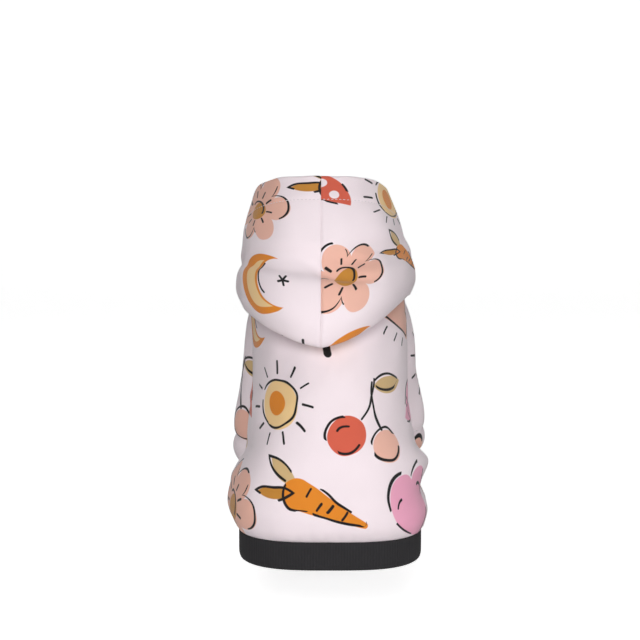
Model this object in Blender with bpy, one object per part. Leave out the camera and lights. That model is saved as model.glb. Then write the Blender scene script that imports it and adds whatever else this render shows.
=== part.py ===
"""Dog hoodie, held open in the upright form that it has when it is worn.

Metres, +Z up. The belly side faces +Y, -Y is the back and +X is the right side. The origin lies on the inside of the
body at the middle of the neck seam's back. Angles run round the body: 0 at the middle of the back, 90 on the right
side, 180 at the middle of the belly.
"""

from collections import namedtuple
from functools import lru_cache
from math import cos, pi, radians, sin

import bmesh
import bpy
import numpy as np

# Body
TORSO_HEIGHT = 0.2385  # waist seam to neck seam, between the two rings' centres
CHEST_WIDTH = 0.144
CHEST_DEPTH = 0.192
CLOTH_WALL = 0.002
SEAM_GAP = 0.0003  # between two pieces that are sewn together
WAIST_SEAM_GAP = 0.0010  # between the body and the band, whose facets part at the corners
FOLD_RISE = 0.008  # the highest fold stands this far out
BELLY_PANEL_ANGLE = 128.0  # how far the belly panel reaches round, between its side seams

# Waist band and cuffs, of ribbed knit
RIB_WALL = 0.0024
WAIST_BAND_HEIGHT = 0.025
WAIST_BAND_TUCK = 0.0015  # the band sits this far inside the body cloth
CUFF_HEIGHT = 0.025

# Hood
HOOD_PUFF = 0.030  # how far the hood's outer layer stands off the back
HOOD_LAP = 0.0016  # between the body and the hood's inner layer
HOOD_HEM = 0.027  # width of the turned hem at the rim
HEM_EXTRA_WALL = 0.0009

# Sleeves
SLEEVE_RADIUS = 0.032

# Facets
TORSO_SIDES = 36
TORSO_ROWS = 24
HOOD_SIDES = 15  # round each panel
HOOD_STEPS = 2  # between two control points of the hood's profile
SLEEVE_SIDES = 20
SLEEVE_ROWS = 14
BAND_ROWS = 2

# The rings that the cloth follows, from the waist seam at height 0 through the neck seam at height 1 to the hood's
# rim. height, side_rise: shares of TORSO_HEIGHT. forward: of CHEST_DEPTH. side: of half CHEST_WIDTH. back, chest: of
# half CHEST_DEPTH. tilt: degrees, back side up. lean: of CHEST_WIDTH, to the right. corner: how far the ring stands
# out between its back and its sides, beyond an ellipse, as a share of its reach there.
Ring = namedtuple("Ring", "height forward side back chest tilt side_rise lean corner")
RINGS = (
    Ring(0.000, -0.057, 1.150, 0.900, 0.900, 0.0, -0.004, 0.000, 0.11),
    Ring(0.030, -0.060, 1.180, 0.945, 0.930, 0.0, -0.008, 0.000, 0.11),
    Ring(0.076, -0.063, 1.215, 0.970, 0.950, 0.0, -0.013, 0.000, 0.10),
    Ring(0.160, -0.049, 1.160, 0.953, 0.940, 2.0, -0.010, 0.000, 0.08),
    Ring(0.264, -0.018, 1.080, 0.955, 0.935, 4.0, -0.004, 0.000, 0.06),
    Ring(0.390, 0.055, 1.005, 0.969, 0.950, 5.0, 0.000, 0.000, 0.03),
    Ring(0.516, 0.146, 0.980, 1.005, 0.990, 6.0, 0.000, 0.000, 0.00),
    Ring(0.649, 0.234, 0.985, 1.020, 1.010, 7.0, 0.000, 0.000, 0.00),
    Ring(0.767, 0.302, 0.990, 0.980, 0.973, 10.0, 0.000, -0.007, 0.00),
    Ring(0.868, 0.346, 0.955, 0.885, 0.879, 15.0, 0.005, -0.020, 0.00),
    Ring(0.944, 0.359, 0.890, 0.775, 0.771, 21.4, 0.012, -0.035, 0.00),
    Ring(1.000, 0.344, 0.806, 0.646, 0.646, 29.5, 0.020, -0.042, 0.00),
    Ring(1.062, 0.370, 0.805, 0.670, 0.665, 31.0, 0.038, -0.050, 0.00),
    Ring(1.124, 0.401, 0.810, 0.760, 0.705, 32.0, 0.055, -0.056, 0.00),
)
NECK_SEAM = 1.0
RIM = RINGS[-1].height

FOLDS_FADE = 0.04  # the folds fade out over this much height above the waist seam
FOLDS_TOP = 0.62  # and above here
FOLDS_TOP_FADE = 0.10

# Folds and puffs of the body cloth. height, tall: shares of TORSO_HEIGHT. angle, wide: degrees. rise: of FOLD_RISE,
# where below 0 is a dent. slant: how much height the fold gains over one degree, as a share of TORSO_HEIGHT.
Fold = namedtuple("Fold", "height angle rise tall wide slant")
FOLDS = (
    Fold(0.125, -88.0, 0.62, 0.085, 42.0, 0.0000),
    Fold(0.195, -92.0, 0.45, 0.036, 28.0, 0.0000),
    Fold(0.290, -78.0, -0.50, 0.050, 26.0, 0.0012),
    Fold(0.226, 88.0, 1.12, 0.044, 30.0, -0.0006),
    Fold(0.142, 92.0, -0.62, 0.041, 34.0, 0.0000),
    Fold(0.360, 62.0, -0.25, 0.050, 26.0, -0.0020),
    Fold(0.160, -22.0, 0.22, 0.070, 40.0, 0.0010),
    Fold(0.200, 150.0, 0.35, 0.050, 40.0, 0.0008),
    Fold(0.300, -150.0, 0.35, 0.045, 36.0, -0.0008),
    Fold(0.090, 178.0, -0.35, 0.045, 50.0, 0.0000),
)

# The hood's pocket round the neck, the same on both sides. angle: degrees. bottom: height of the pocket's lowest fold, on
# the scale of Ring.height. puff: share of HOOD_PUFF. crease: how deep the outer layer's crossways crease is, 0 to 1.
Pocket = namedtuple("Pocket", "angle bottom puff crease")
POCKETS = (
    Pocket(0.0, 0.655, 1.00, 1.0),
    Pocket(10.0, 0.669, 0.99, 1.0),
    Pocket(25.0, 0.706, 0.92, 1.0),
    Pocket(45.0, 0.750, 0.58, 0.6),
    Pocket(70.0, 0.778, 0.20, 0.1),
    Pocket(90.0, 0.790, 0.10, 0.0),
    Pocket(120.0, 0.842, 0.12, 0.0),
    Pocket(150.0, 0.912, 0.15, 0.0),
    Pocket(180.0, 0.939, 0.15, 0.0),
)

# The hood's outer layer. share: from the bottom fold at 0 up to the hem's lower edge at 1. stand: how far it stands
# out from the straight line between fold and rim, and crease: how much the crease takes off that, as shares of
# HOOD_PUFF.
Layer = namedtuple("Layer", "share stand crease")
OUTER_LAYER = (
    Layer(0.00, 0.00, 0.00),
    Layer(0.14, 0.20, 0.00),
    Layer(0.31, 0.26, 0.03),
    Layer(0.50, 0.22, 0.30),
    Layer(0.67, 0.20, 0.06),
    Layer(0.84, 0.19, 0.00),
    Layer(1.00, 0.14, 0.00),
)
LONGEST_HEM = 0.6  # where the outer layer is short, the hem takes no more than this share of it
RIM_STAND = 0.08  # how far the rim stands off the body's form, as a share of the puff
INNER_LAYER_SHARES = (0.0, 0.35, 0.70, 0.94)  # from the neck seam at 0 down to the bottom fold at 1
FOLD_DROP = 0.40  # the fold hangs below its layers by this share of its own thickness
FOLD_MIDDLE = 0.5  # and lies this share of its thickness away from the inner layer

# The sleeve's middle line, from inside the shoulder down to the cuff seam. height: on the scale of Ring.height.
# forward: share of CHEST_DEPTH. side: of half CHEST_WIDTH. radius: of SLEEVE_RADIUS.
Station = namedtuple("Station", "height forward side radius")
SLEEVE_STATIONS = (
    Station(0.826, 0.395, 0.415, 0.78),
    Station(0.759, 0.445, 0.528, 0.89),
    Station(0.682, 0.515, 0.645, 0.97),
    Station(0.528, 0.575, 0.705, 0.97),
    Station(0.385, 0.598, 0.768, 0.96),
    Station(0.300, 0.605, 0.795, 1.03),
    Station(0.250, 0.607, 0.803, 1.04),
    Station(0.212, 0.608, 0.805, 0.96),
    Station(0.172, 0.608, 0.818, 1.02),
    Station(0.122, 0.608, 0.805, 0.86),
)

# The two sides. side: +1 is the right. lift: how much higher the sleeve ends, as a share of TORSO_HEIGHT. spread: how
# much further out it ends, as a share of half CHEST_WIDTH. hood_lift: how much higher the hood's pocket hangs there.
Side = namedtuple("Side", "name side lift spread hood_lift")
SIDES = (Side("left", -1.0, 0.0, 0.0, -0.008), Side("right", 1.0, 0.050, 0.0, 0.030))

# Materials. colour: linear red, green and blue.
Finish = namedtuple("Finish", "name colour roughness")
PRINTED_CLOTH = Finish("printed_cloth", (0.88, 0.80, 0.84), 0.85)
DARK_RIB = Finish("dark_rib", (0.030, 0.030, 0.032), 0.90)


def smooth_value(knots, values, at):
    """The value at a place on a smooth curve that passes through each knot's value, or a row of such values."""
    knots = np.asarray(knots, float)
    values = np.asarray(values, float)
    slopes = np.gradient(values, knots, axis=0)
    i = int(np.clip(np.searchsorted(knots, at) - 1, 0, len(knots) - 2))
    span = knots[i + 1] - knots[i]
    t = np.clip((at - knots[i]) / span, 0.0, 1.0)
    from_start = (1 + 2 * t) * (1 - t) ** 2 * values[i] + t * (1 - t) ** 2 * span * slopes[i]
    from_end = t * t * (3 - 2 * t) * values[i + 1] + t * t * (t - 1) * span * slopes[i + 1]
    return from_start + from_end


def column(rows, name):
    """One named column of a table."""
    return [getattr(row, name) for row in rows]


@lru_cache(maxsize=None)
def table_row(rows, key, at):
    """A row of a table between its own rows, each column read on a smooth curve over the key column."""
    return type(rows[0])(*smooth_value(column(rows, key), rows, at))


def ring_point(ring, angle):
    """A point of one ring, before the origin is moved to the neck seam."""
    turn = radians(angle)
    tilt = radians(ring.tilt)
    reach = ring.back if cos(turn) > 0 else ring.chest
    out = 1.0 + ring.corner * sin(2 * turn) ** 2
    along = -cos(turn) * out * reach * CHEST_DEPTH / 2
    return np.array(
        (
            sin(turn) * out * ring.side * CHEST_WIDTH / 2 + ring.lean * CHEST_WIDTH,
            ring.forward * CHEST_DEPTH + along * cos(tilt),
            ring.height * TORSO_HEIGHT - along * sin(tilt) + ring.side_rise * TORSO_HEIGHT * sin(turn) ** 2,
        )
    )


def neck_seam_offset():
    """Where the origin lies before it is moved: the inside of the cloth at the neck seam, on the middle plane."""
    neck = table_row(RINGS, "height", NECK_SEAM)
    tilt = radians(neck.tilt)
    seam = ring_point(neck, 0.0)
    return np.array((0.0, seam[1] + CLOTH_WALL * cos(tilt), seam[2] - CLOTH_WALL * sin(tilt)))


ORIGIN = neck_seam_offset()


def form_point(height, angle):
    """A point of the smooth body form at a height share and an angle."""
    return ring_point(table_row(RINGS, "height", height), angle) - ORIGIN


def outward(surface, height, angle):
    """The outward direction of a surface, which is a function of height and angle."""
    step = 0.004
    up = surface(min(height + step, RIM), angle) - surface(max(height - step, 0.0), angle)
    round_it = surface(height, angle + 1.0) - surface(height, angle - 1.0)
    normal = np.cross(round_it, up)
    return normal / np.linalg.norm(normal)


def fold_rise(height, angle):
    """How far the body's folds lift the cloth at a place. They fade out at both seams."""
    total = 0.0
    for fold in FOLDS:
        away = (angle - fold.angle + 180.0) % 360.0 - 180.0
        up = (height - fold.height - fold.slant * away) / fold.tall
        total += fold.rise * np.exp(-(up**2) - (away / fold.wide) ** 2)
    at_seams = min(1.0, height / FOLDS_FADE) * min(1.0, max(0.0, (FOLDS_TOP - height) / FOLDS_TOP_FADE))
    return FOLD_RISE * total * at_seams


def body_point(height, angle):
    """A point of the body cloth's outer face."""
    return form_point(height, angle) + outward(form_point, height, angle) * fold_rise(height, angle)


def body_grid(angles, depth=0.0):
    """Points at a depth in the body cloth at the given angles, from the waist seam to the neck seam."""
    heights = np.linspace(0.0, 1.0, TORSO_ROWS + 1) ** 1.08
    rows = []
    for h in heights:
        rows.append([body_point(h, a) - outward(body_point, h, a) * depth for a in angles])
    return np.array(rows)


def grid_normals(grid, closed):
    """The outward direction at each point of a grid of rows by columns, whose columns may close into a ring."""
    if closed:
        across = np.roll(grid, -1, axis=1) - np.roll(grid, 1, axis=1)
    else:
        across = np.gradient(grid, axis=1)
    along = np.gradient(grid, axis=0)
    normals = np.cross(across, along)
    return normals / np.linalg.norm(normals, axis=2, keepdims=True)


def mesh_object(name, vertices, faces, finish):
    """A new smooth-shaded object with one material."""
    mesh = bpy.data.meshes.new(name)
    mesh.from_pydata([tuple(v) for v in vertices], [], faces)
    body = bmesh.new()
    body.from_mesh(mesh)
    bmesh.ops.recalc_face_normals(body, faces=body.faces)
    body.to_mesh(mesh)
    body.free()
    mesh.shade_smooth()
    mesh.set_sharp_from_angle(angle=radians(50.0))
    mesh.materials.append(material(finish))
    made = bpy.data.objects.new(name, mesh)
    bpy.context.collection.objects.link(made)
    return made


def material(finish):
    """The material of one finish, made once."""
    found = bpy.data.materials.get(finish.name)
    if found:
        return found
    made = bpy.data.materials.new(finish.name)
    made.use_nodes = True
    shader = made.node_tree.nodes["Principled BSDF"]
    shader.inputs["Base Color"].default_value = (*finish.colour, 1.0)
    shader.inputs["Roughness"].default_value = finish.roughness
    shader.inputs["Metallic"].default_value = 0.0
    return made


def grid_faces(rows, columns, start, closed, flipped):
    """The triangles between neighbouring points of a grid, all split along the same diagonal."""
    faces = []
    for r in range(rows - 1):
        for c in range(columns if closed else columns - 1):
            d = (c + 1) % columns
            low = (start + r * columns + c, start + r * columns + d)
            high = (start + (r + 1) * columns + c, start + (r + 1) * columns + d)
            faces += [[low[0], low[1], high[1]], [low[0], high[1], high[0]]]
    return [face[::-1] for face in faces] if flipped else faces


def cloth_wall(name, outer, inner, closed, finish):
    """A closed wall of cloth between an outer and an inner grid of the same shape."""
    rows, columns = outer.shape[:2]
    count = rows * columns
    vertices = np.concatenate([outer.reshape(-1, 3), inner.reshape(-1, 3)])
    faces = grid_faces(rows, columns, 0, closed, False)
    faces += grid_faces(rows, columns, count, closed, True)
    rim = range(columns if closed else columns - 1)
    for row in (0, (rows - 1) * columns):
        for c in rim:
            d = (c + 1) % columns
            faces.append([row + c, row + d, count + row + d, count + row + c])
    if not closed:
        for side in (0, columns - 1):
            for r in range(rows - 1):
                a, b = r * columns + side, (r + 1) * columns + side
                faces.append([a, b, count + b, count + a])
    return mesh_object(name, vertices, faces, finish)


def filled_form(name, grid):
    """A hidden solid whose sides are a closed grid, with a flat fan of faces at each end, for cutting."""
    rows, columns = grid.shape[:2]
    vertices = list(grid.reshape(-1, 3)) + [grid[0].mean(axis=0), grid[-1].mean(axis=0)]
    faces = grid_faces(rows, columns, 0, True, False)
    for end, row in ((rows * columns, 0), (rows * columns + 1, rows - 1)):
        for c in range(columns):
            faces.append([end, row * columns + c, row * columns + (c + 1) % columns])
    cutter = mesh_object(name, vertices, faces, PRINTED_CLOTH)
    cutter.hide_render = True
    cutter.display_type = "WIRE"
    return cutter


def cut_away(piece, cutter):
    """Cuts one solid's shape out of another."""
    cut = piece.modifiers.new("cut by " + cutter.name, "BOOLEAN")
    cut.operation = "DIFFERENCE"
    cut.solver = "EXACT"
    cut.object = cutter


def seam_angles(start, end):
    """Angles from one side seam to the other, with half the seam's gap left free at each."""
    count = max(2, round(TORSO_SIDES * (end - start) / 360.0))
    half_gap = np.degrees(SEAM_GAP / 2 / (CHEST_WIDTH / 2))
    return np.linspace(start + half_gap, end - half_gap, count + 1)


def build_body():
    """The back panel and the belly panel, which meet at the two side seams."""
    side_seam = 180.0 - BELLY_PANEL_ANGLE / 2
    spans = (("body_back", -side_seam, side_seam), ("body_belly", side_seam, 360.0 - side_seam))
    panels = []
    for name, start, end in spans:
        angles = seam_angles(start, end)
        panels.append(cloth_wall(name, body_grid(angles), body_grid(angles, CLOTH_WALL), False, PRINTED_CLOTH))
    return panels


def body_cavity():
    """The hidden solid that fills the inside of the body, up to the cloth's inner face."""
    angles = np.linspace(0.0, 360.0, TORSO_SIDES, endpoint=False)
    return filled_form("body_cavity", body_grid(angles, CLOTH_WALL))


def build_waist_band():
    """The ribbed band under the waist seam."""
    angles = np.linspace(0.0, 360.0, TORSO_SIDES, endpoint=False)
    seam = body_grid(angles, WAIST_BAND_TUCK)[0]
    drops = WAIST_SEAM_GAP + np.linspace(0.0, 1.0, BAND_ROWS + 1) * WAIST_BAND_HEIGHT
    outer = np.array([seam - np.array((0.0, 0.0, drop)) for drop in drops[::-1]])
    inner = outer - grid_normals(outer, True) * RIB_WALL
    return cloth_wall("waist_band", outer, inner, True, DARK_RIB)


def hood_control_points(angle, hood_lift):
    """The middle line of the hood's cloth at one angle: from the neck seam down, round the fold, up to the rim."""
    pocket = table_row(POCKETS, "angle", 180.0 - abs(180.0 - abs(angle)))
    bottom = pocket.bottom + hood_lift * sin(radians(angle)) ** 2
    lap = HOOD_LAP + CLOTH_WALL / 2
    puff = pocket.puff * HOOD_PUFF

    def standing(height, away):
        return form_point(height, angle) + outward(form_point, height, angle) * (lap + away)

    drop = NECK_SEAM - bottom
    points = [standing(NECK_SEAM - share * drop, 0.0) for share in INNER_LAYER_SHARES]
    swing = (RINGS[-1].lean - table_row(RINGS, "height", bottom).lean) * max(cos(radians(angle)), 0.0)
    sideways = np.array((swing * CHEST_WIDTH, 0.0, 0.0))
    fold = standing(bottom, puff) + sideways
    rim = standing(RIM, puff * RIM_STAND)
    rise = rim - fold
    along = rise / np.linalg.norm(rise)
    out = outward(form_point, bottom, angle)
    out = out - along * (out @ along)
    out /= np.linalg.norm(out)
    points.append(standing(bottom, puff * FOLD_MIDDLE) + sideways - along * (puff * FOLD_DROP))
    below_hem = max(1.0 - HOOD_HEM / np.linalg.norm(rise), 1.0 - LONGEST_HEM)
    for layer in OUTER_LAYER:
        away = HOOD_PUFF * (layer.stand - layer.crease * pocket.crease)
        points.append(fold + rise * layer.share * below_hem + out * away)
    return np.array([*points, rim])


def smooth_line(points, steps):
    """A smooth line through control points, with a number of steps between each two."""
    knots = np.arange(len(points))
    places = np.linspace(0.0, len(points) - 1, (len(points) - 1) * steps + 1)
    return np.array([smooth_value(knots, points, t) for t in places])


def hood_wall(profile_rows):
    """The cloth's thickness along the hood's profile: more at the turned hem, which starts at the last layer."""
    hem_row = (len(INNER_LAYER_SHARES) + len(OUTER_LAYER)) * HOOD_STEPS
    return CLOTH_WALL + HEM_EXTRA_WALL * (np.arange(profile_rows) >= hem_row)


def build_hood_panel(side):
    """One half of the hood, from the centre back seam to the middle of the throat."""
    half_gap = np.degrees(SEAM_GAP / (CHEST_WIDTH / 2))
    angles, turn = np.linspace(half_gap, 180.0 - half_gap, HOOD_SIDES + 1, retstep=True)
    past_seams = np.array([angles[0] - turn, *angles, angles[-1] + turn]) * side.side
    lines = [smooth_line(hood_control_points(a, side.hood_lift), HOOD_STEPS) for a in past_seams]
    middle = np.array(lines).transpose(1, 0, 2)
    normals = grid_normals(middle, False)
    depths = normals * hood_wall(len(middle))[:, None, None] / 2
    outer, inner = (middle + depths)[:, 1:-1], (middle - depths)[:, 1:-1]
    return cloth_wall("hood_" + side.name, outer, inner, False, PRINTED_CLOTH)


def sleeve_station(share, side):
    """The sleeve's centre and radius at a share of the way from the shoulder to the cuff seam."""
    knots = np.linspace(0.0, 1.0, len(SLEEVE_STATIONS))
    at = Station(*smooth_value(knots, SLEEVE_STATIONS, share))
    height = at.height + side.lift * share**2
    across = side.side * (at.side + side.spread * share**2) * CHEST_WIDTH / 2
    centre = np.array((across, at.forward * CHEST_DEPTH, height * TORSO_HEIGHT))
    return centre - ORIGIN, at.radius * SLEEVE_RADIUS


def sleeve_direction(share, side):
    """The direction of the sleeve's middle line, upwards."""
    upper = sleeve_station(max(share - 0.03, 0.0), side)[0]
    lower = sleeve_station(min(share + 0.03, 1.0), side)[0]
    return (upper - lower) / np.linalg.norm(upper - lower)


def circle_points(centre, direction, radius):
    """Points of a circle about a direction, starting at its -Y side."""
    right = np.cross(np.array((0.0, 1.0, 0.0)), direction)
    right /= np.linalg.norm(right)
    ahead = np.cross(direction, right)
    turns = np.linspace(0.0, 2 * pi, SLEEVE_SIDES, endpoint=False)
    return np.array([centre + radius * (sin(t) * right - cos(t) * ahead) for t in turns])


def sleeve_grid(side, grow=0.0):
    """Points of the sleeve's outer face, from the cuff seam up into the shoulder."""
    rows = []
    for share in np.linspace(1.0, 0.0, SLEEVE_ROWS + 1):
        centre, radius = sleeve_station(share, side)
        rows.append(circle_points(centre, sleeve_direction(share, side), radius + grow))
    return np.array(rows)


def build_sleeve(side, panels, cavity):
    """One sleeve, trimmed where it meets the inside of the body, and its armhole in both panels."""
    outer = sleeve_grid(side)
    inner = outer - grid_normals(outer, True) * CLOTH_WALL
    sleeve = cloth_wall("sleeve_" + side.name, outer, inner, True, PRINTED_CLOTH)
    cut_away(sleeve, cavity)
    armhole = filled_form("armhole_" + side.name, sleeve_grid(side, SEAM_GAP))
    for panel in panels:
        cut_away(panel, armhole)
    return sleeve


def build_cuff(side):
    """The ribbed cuff under one sleeve."""
    end, radius = sleeve_station(1.0, side)
    up = sleeve_direction(1.0, side)
    drops = SEAM_GAP + np.linspace(1.0, 0.0, BAND_ROWS + 1) * CUFF_HEIGHT
    outer = np.array([circle_points(end - up * drop, up, radius) for drop in drops])
    inner = outer - grid_normals(outer, True) * RIB_WALL
    return cloth_wall("cuff_" + side.name, outer, inner, True, DARK_RIB)


def main():
    """Builds the hoodie in an emptied scene."""
    for old in list(bpy.data.objects):
        bpy.data.objects.remove(old)
    panels = build_body()
    cavity = body_cavity()
    build_waist_band()
    for side in SIDES:
        build_hood_panel(side)
        build_sleeve(side, panels, cavity)
        build_cuff(side)


main()
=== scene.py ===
"""Looks of the dog hoodie: its printed cloth, ribbed bands and stitching, and the studio that it is seen in.

Metres, +Z up, in the frame of the CAD model. The belly faces +Y and +X is the right side. Angles run round
the body: 0 at the middle of the back, 90 on the right side, 180 at the middle of the belly.
"""

import logging
from dataclasses import dataclass, field
from enum import Enum
from math import atan, cos, radians, sin, tau
from typing import Callable, NamedTuple, Sequence

import bpy
import numpy as np
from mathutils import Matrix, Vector
from mathutils.bvhtree import BVHTree


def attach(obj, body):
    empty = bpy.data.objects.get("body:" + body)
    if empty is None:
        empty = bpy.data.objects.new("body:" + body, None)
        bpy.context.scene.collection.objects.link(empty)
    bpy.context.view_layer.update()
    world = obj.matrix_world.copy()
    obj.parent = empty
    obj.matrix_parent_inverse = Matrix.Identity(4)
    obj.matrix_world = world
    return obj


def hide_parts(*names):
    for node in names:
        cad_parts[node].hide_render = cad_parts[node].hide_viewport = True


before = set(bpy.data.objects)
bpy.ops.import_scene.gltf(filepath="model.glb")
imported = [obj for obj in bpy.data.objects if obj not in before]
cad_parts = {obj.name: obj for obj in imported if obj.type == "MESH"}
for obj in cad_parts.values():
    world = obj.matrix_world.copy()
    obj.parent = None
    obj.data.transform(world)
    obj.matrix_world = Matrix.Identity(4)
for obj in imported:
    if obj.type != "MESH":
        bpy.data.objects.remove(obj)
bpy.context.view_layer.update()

LOG = logging.getLogger("hoodie")
PRINT_MAP = "print"  # the UV map, in metres of cloth

Places = np.ndarray  # rows of x, y, z
Field2D = np.ndarray  # one number for each row and column of a grid


class Ring(NamedTuple):
    """One ring of the form that the cloth follows, in the shares that the CAD model's source uses."""

    height: float
    forward: float
    side: float
    back: float
    chest: float
    tilt: float
    side_rise: float
    lean: float
    corner: float


class Fold(NamedTuple):
    """A fold of the body cloth, or a dent where rise is below 0."""

    height: float
    angle: float
    rise: float
    tall: float
    wide: float
    slant: float


class Pocket(NamedTuple):
    """How the hood hangs at one angle round the body."""

    angle: float
    bottom: float
    puff: float
    crease: float


class Layer(NamedTuple):
    """One place on the hood's outer layer, between its bottom fold and its hem."""

    share: float
    stand: float
    crease: float


class Station(NamedTuple):
    """One place on a sleeve's middle line."""

    height: float
    forward: float
    side: float
    radius: float


class Dent(NamedTuple):
    """A soft dent of the hood's outer layer, or a swelling where depth is below 0.

    share runs from the bottom fold at 0 to the rim at 1, angle and wide are degrees, depth is metres.
    """

    share: float
    angle: float
    depth: float
    tall: float
    wide: float
    slant: float


RINGS = (
    Ring(0.000, -0.057, 1.150, 0.900, 0.900, 0.0, -0.004, 0.000, 0.11),
    Ring(0.030, -0.060, 1.180, 0.945, 0.930, 0.0, -0.008, 0.000, 0.11),
    Ring(0.076, -0.063, 1.215, 0.970, 0.950, 0.0, -0.013, 0.000, 0.10),
    Ring(0.160, -0.049, 1.160, 0.953, 0.940, 2.0, -0.010, 0.000, 0.08),
    Ring(0.264, -0.018, 1.080, 0.955, 0.935, 4.0, -0.004, 0.000, 0.06),
    Ring(0.390, 0.055, 1.005, 0.969, 0.950, 5.0, 0.000, 0.000, 0.03),
    Ring(0.516, 0.146, 0.980, 1.005, 0.990, 6.0, 0.000, 0.000, 0.00),
    Ring(0.649, 0.234, 0.985, 1.020, 1.010, 7.0, 0.000, 0.000, 0.00),
    Ring(0.767, 0.302, 0.990, 0.980, 0.973, 10.0, 0.000, -0.007, 0.00),
    Ring(0.868, 0.346, 0.955, 0.885, 0.879, 15.0, 0.005, -0.020, 0.00),
    Ring(0.944, 0.359, 0.890, 0.775, 0.771, 21.4, 0.012, -0.035, 0.00),
    Ring(1.000, 0.344, 0.806, 0.646, 0.646, 29.5, 0.020, -0.042, 0.00),
    Ring(1.062, 0.370, 0.805, 0.670, 0.665, 31.0, 0.038, -0.050, 0.00),
    Ring(1.124, 0.401, 0.810, 0.760, 0.705, 32.0, 0.055, -0.056, 0.00),
)
RIM = RINGS[-1].height

FOLDS = (
    Fold(0.125, -88.0, 0.62, 0.085, 42.0, 0.0000),
    Fold(0.195, -92.0, 0.45, 0.036, 28.0, 0.0000),
    Fold(0.290, -78.0, -0.50, 0.050, 26.0, 0.0012),
    Fold(0.226, 88.0, 1.12, 0.044, 30.0, -0.0006),
    Fold(0.142, 92.0, -0.62, 0.041, 34.0, 0.0000),
    Fold(0.360, 62.0, -0.25, 0.050, 26.0, -0.0020),
    Fold(0.160, -22.0, 0.22, 0.070, 40.0, 0.0010),
    Fold(0.200, 150.0, 0.35, 0.050, 40.0, 0.0008),
    Fold(0.300, -150.0, 0.35, 0.045, 36.0, -0.0008),
    Fold(0.090, 178.0, -0.35, 0.045, 50.0, 0.0000),
)

# Smaller folds of the body cloth, which the CAD model leaves out.
FINE_FOLDS = (
    Fold(0.060, 30.0, 0.10, 0.030, 26.0, 0.0006),
    Fold(0.075, -40.0, -0.09, 0.026, 22.0, -0.0006),
    Fold(0.420, 84.0, -0.16, 0.020, 20.0, 0.0020),
    Fold(0.455, -86.0, 0.14, 0.022, 22.0, -0.0018),
    Fold(0.350, -60.0, -0.12, 0.024, 24.0, 0.0022),
    Fold(0.330, 102.0, 0.16, 0.020, 20.0, 0.0012),
    Fold(0.190, -100.0, -0.16, 0.018, 20.0, 0.0010),
    Fold(0.110, 118.0, 0.14, 0.022, 24.0, -0.0012),
    Fold(0.480, 40.0, -0.08, 0.030, 18.0, -0.0026),
    Fold(0.470, -34.0, -0.08, 0.030, 18.0, 0.0026),
)

POCKETS = (
    Pocket(0.0, 0.655, 1.00, 1.0),
    Pocket(10.0, 0.669, 0.99, 1.0),
    Pocket(25.0, 0.706, 0.92, 1.0),
    Pocket(45.0, 0.750, 0.58, 0.6),
    Pocket(70.0, 0.778, 0.20, 0.1),
    Pocket(90.0, 0.790, 0.10, 0.0),
    Pocket(120.0, 0.842, 0.12, 0.0),
    Pocket(150.0, 0.912, 0.15, 0.0),
    Pocket(180.0, 0.939, 0.15, 0.0),
)
OUTER_LAYER = (
    Layer(0.00, 0.00, 0.00),
    Layer(0.14, 0.20, 0.00),
    Layer(0.31, 0.26, 0.03),
    Layer(0.50, 0.22, 0.30),
    Layer(0.67, 0.20, 0.06),
    Layer(0.84, 0.19, 0.00),
    Layer(1.00, 0.14, 0.00),
)
HOOD_DENTS = (
    Dent(0.44, -30.0, -0.0030, 0.080, 26.0, 0.0000),
    Dent(0.36, -38.0, 0.0026, 0.035, 30.0, 0.0000),
    Dent(0.43, -75.0, 0.0035, 0.050, 14.0, 0.0000),
    Dent(0.47, 20.0, -0.0028, 0.050, 16.0, -0.0040),
    Dent(0.33, 9.0, 0.0055, 0.045, 14.0, -0.0055),
    Dent(0.36, 34.0, -0.0032, 0.090, 9.0, 0.0000),
    Dent(0.52, 88.0, -0.0028, 0.100, 22.0, 0.0000),
    Dent(0.60, 66.0, 0.0016, 0.220, 7.0, 0.0000),
)

SLEEVE_STATIONS = (
    Station(0.826, 0.395, 0.415, 0.78),
    Station(0.759, 0.445, 0.528, 0.89),
    Station(0.682, 0.515, 0.645, 0.97),
    Station(0.528, 0.575, 0.705, 0.97),
    Station(0.385, 0.598, 0.768, 0.96),
    Station(0.300, 0.605, 0.795, 1.03),
    Station(0.250, 0.607, 0.803, 1.04),
    Station(0.212, 0.608, 0.805, 0.96),
    Station(0.172, 0.608, 0.818, 1.02),
    Station(0.122, 0.608, 0.805, 0.86),
)


class Side(Enum):
    """The two sides: name, +1 for right, the sleeve end's lift and spread, and the hood pocket's lift."""

    LEFT = ("left", -1.0, 0.0, 0.0, -0.008)
    RIGHT = ("right", 1.0, 0.050, 0.0, 0.030)

    def __init__(self, label: str, sign: float, lift: float, spread: float, hood_lift: float) -> None:
        """Keeps the side's values under their own names."""
        self.label, self.sign, self.lift, self.spread, self.hood_lift = label, sign, lift, spread, hood_lift


def smooth_values(knots: Sequence[float], values: Sequence, at: np.ndarray) -> np.ndarray:
    """Reads rows of values on a smooth curve that passes through each knot's row.

    Args:
        knots: places of the rows, rising.
        values: one number or one row of numbers for each knot.
        at: places to read, of any shape.

    Returns:
        One row for each place, in the shape of at plus one axis.
    """
    knots = np.asarray(knots, float)
    values = np.asarray(values, float).reshape(len(knots), -1)
    slopes = np.gradient(values, knots, axis=0)
    at = np.clip(np.asarray(at, float), knots[0], knots[-1])
    i = np.clip(np.searchsorted(knots, at) - 1, 0, len(knots) - 2)
    span = (knots[i + 1] - knots[i])[..., None]
    t = (at - knots[i])[..., None] / span
    from_start = (1 + 2 * t) * (1 - t) ** 2 * values[i] + t * (1 - t) ** 2 * span * slopes[i]
    return from_start + t * t * (3 - 2 * t) * values[i + 1] + t * t * (t - 1) * span * slopes[i + 1]


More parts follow.
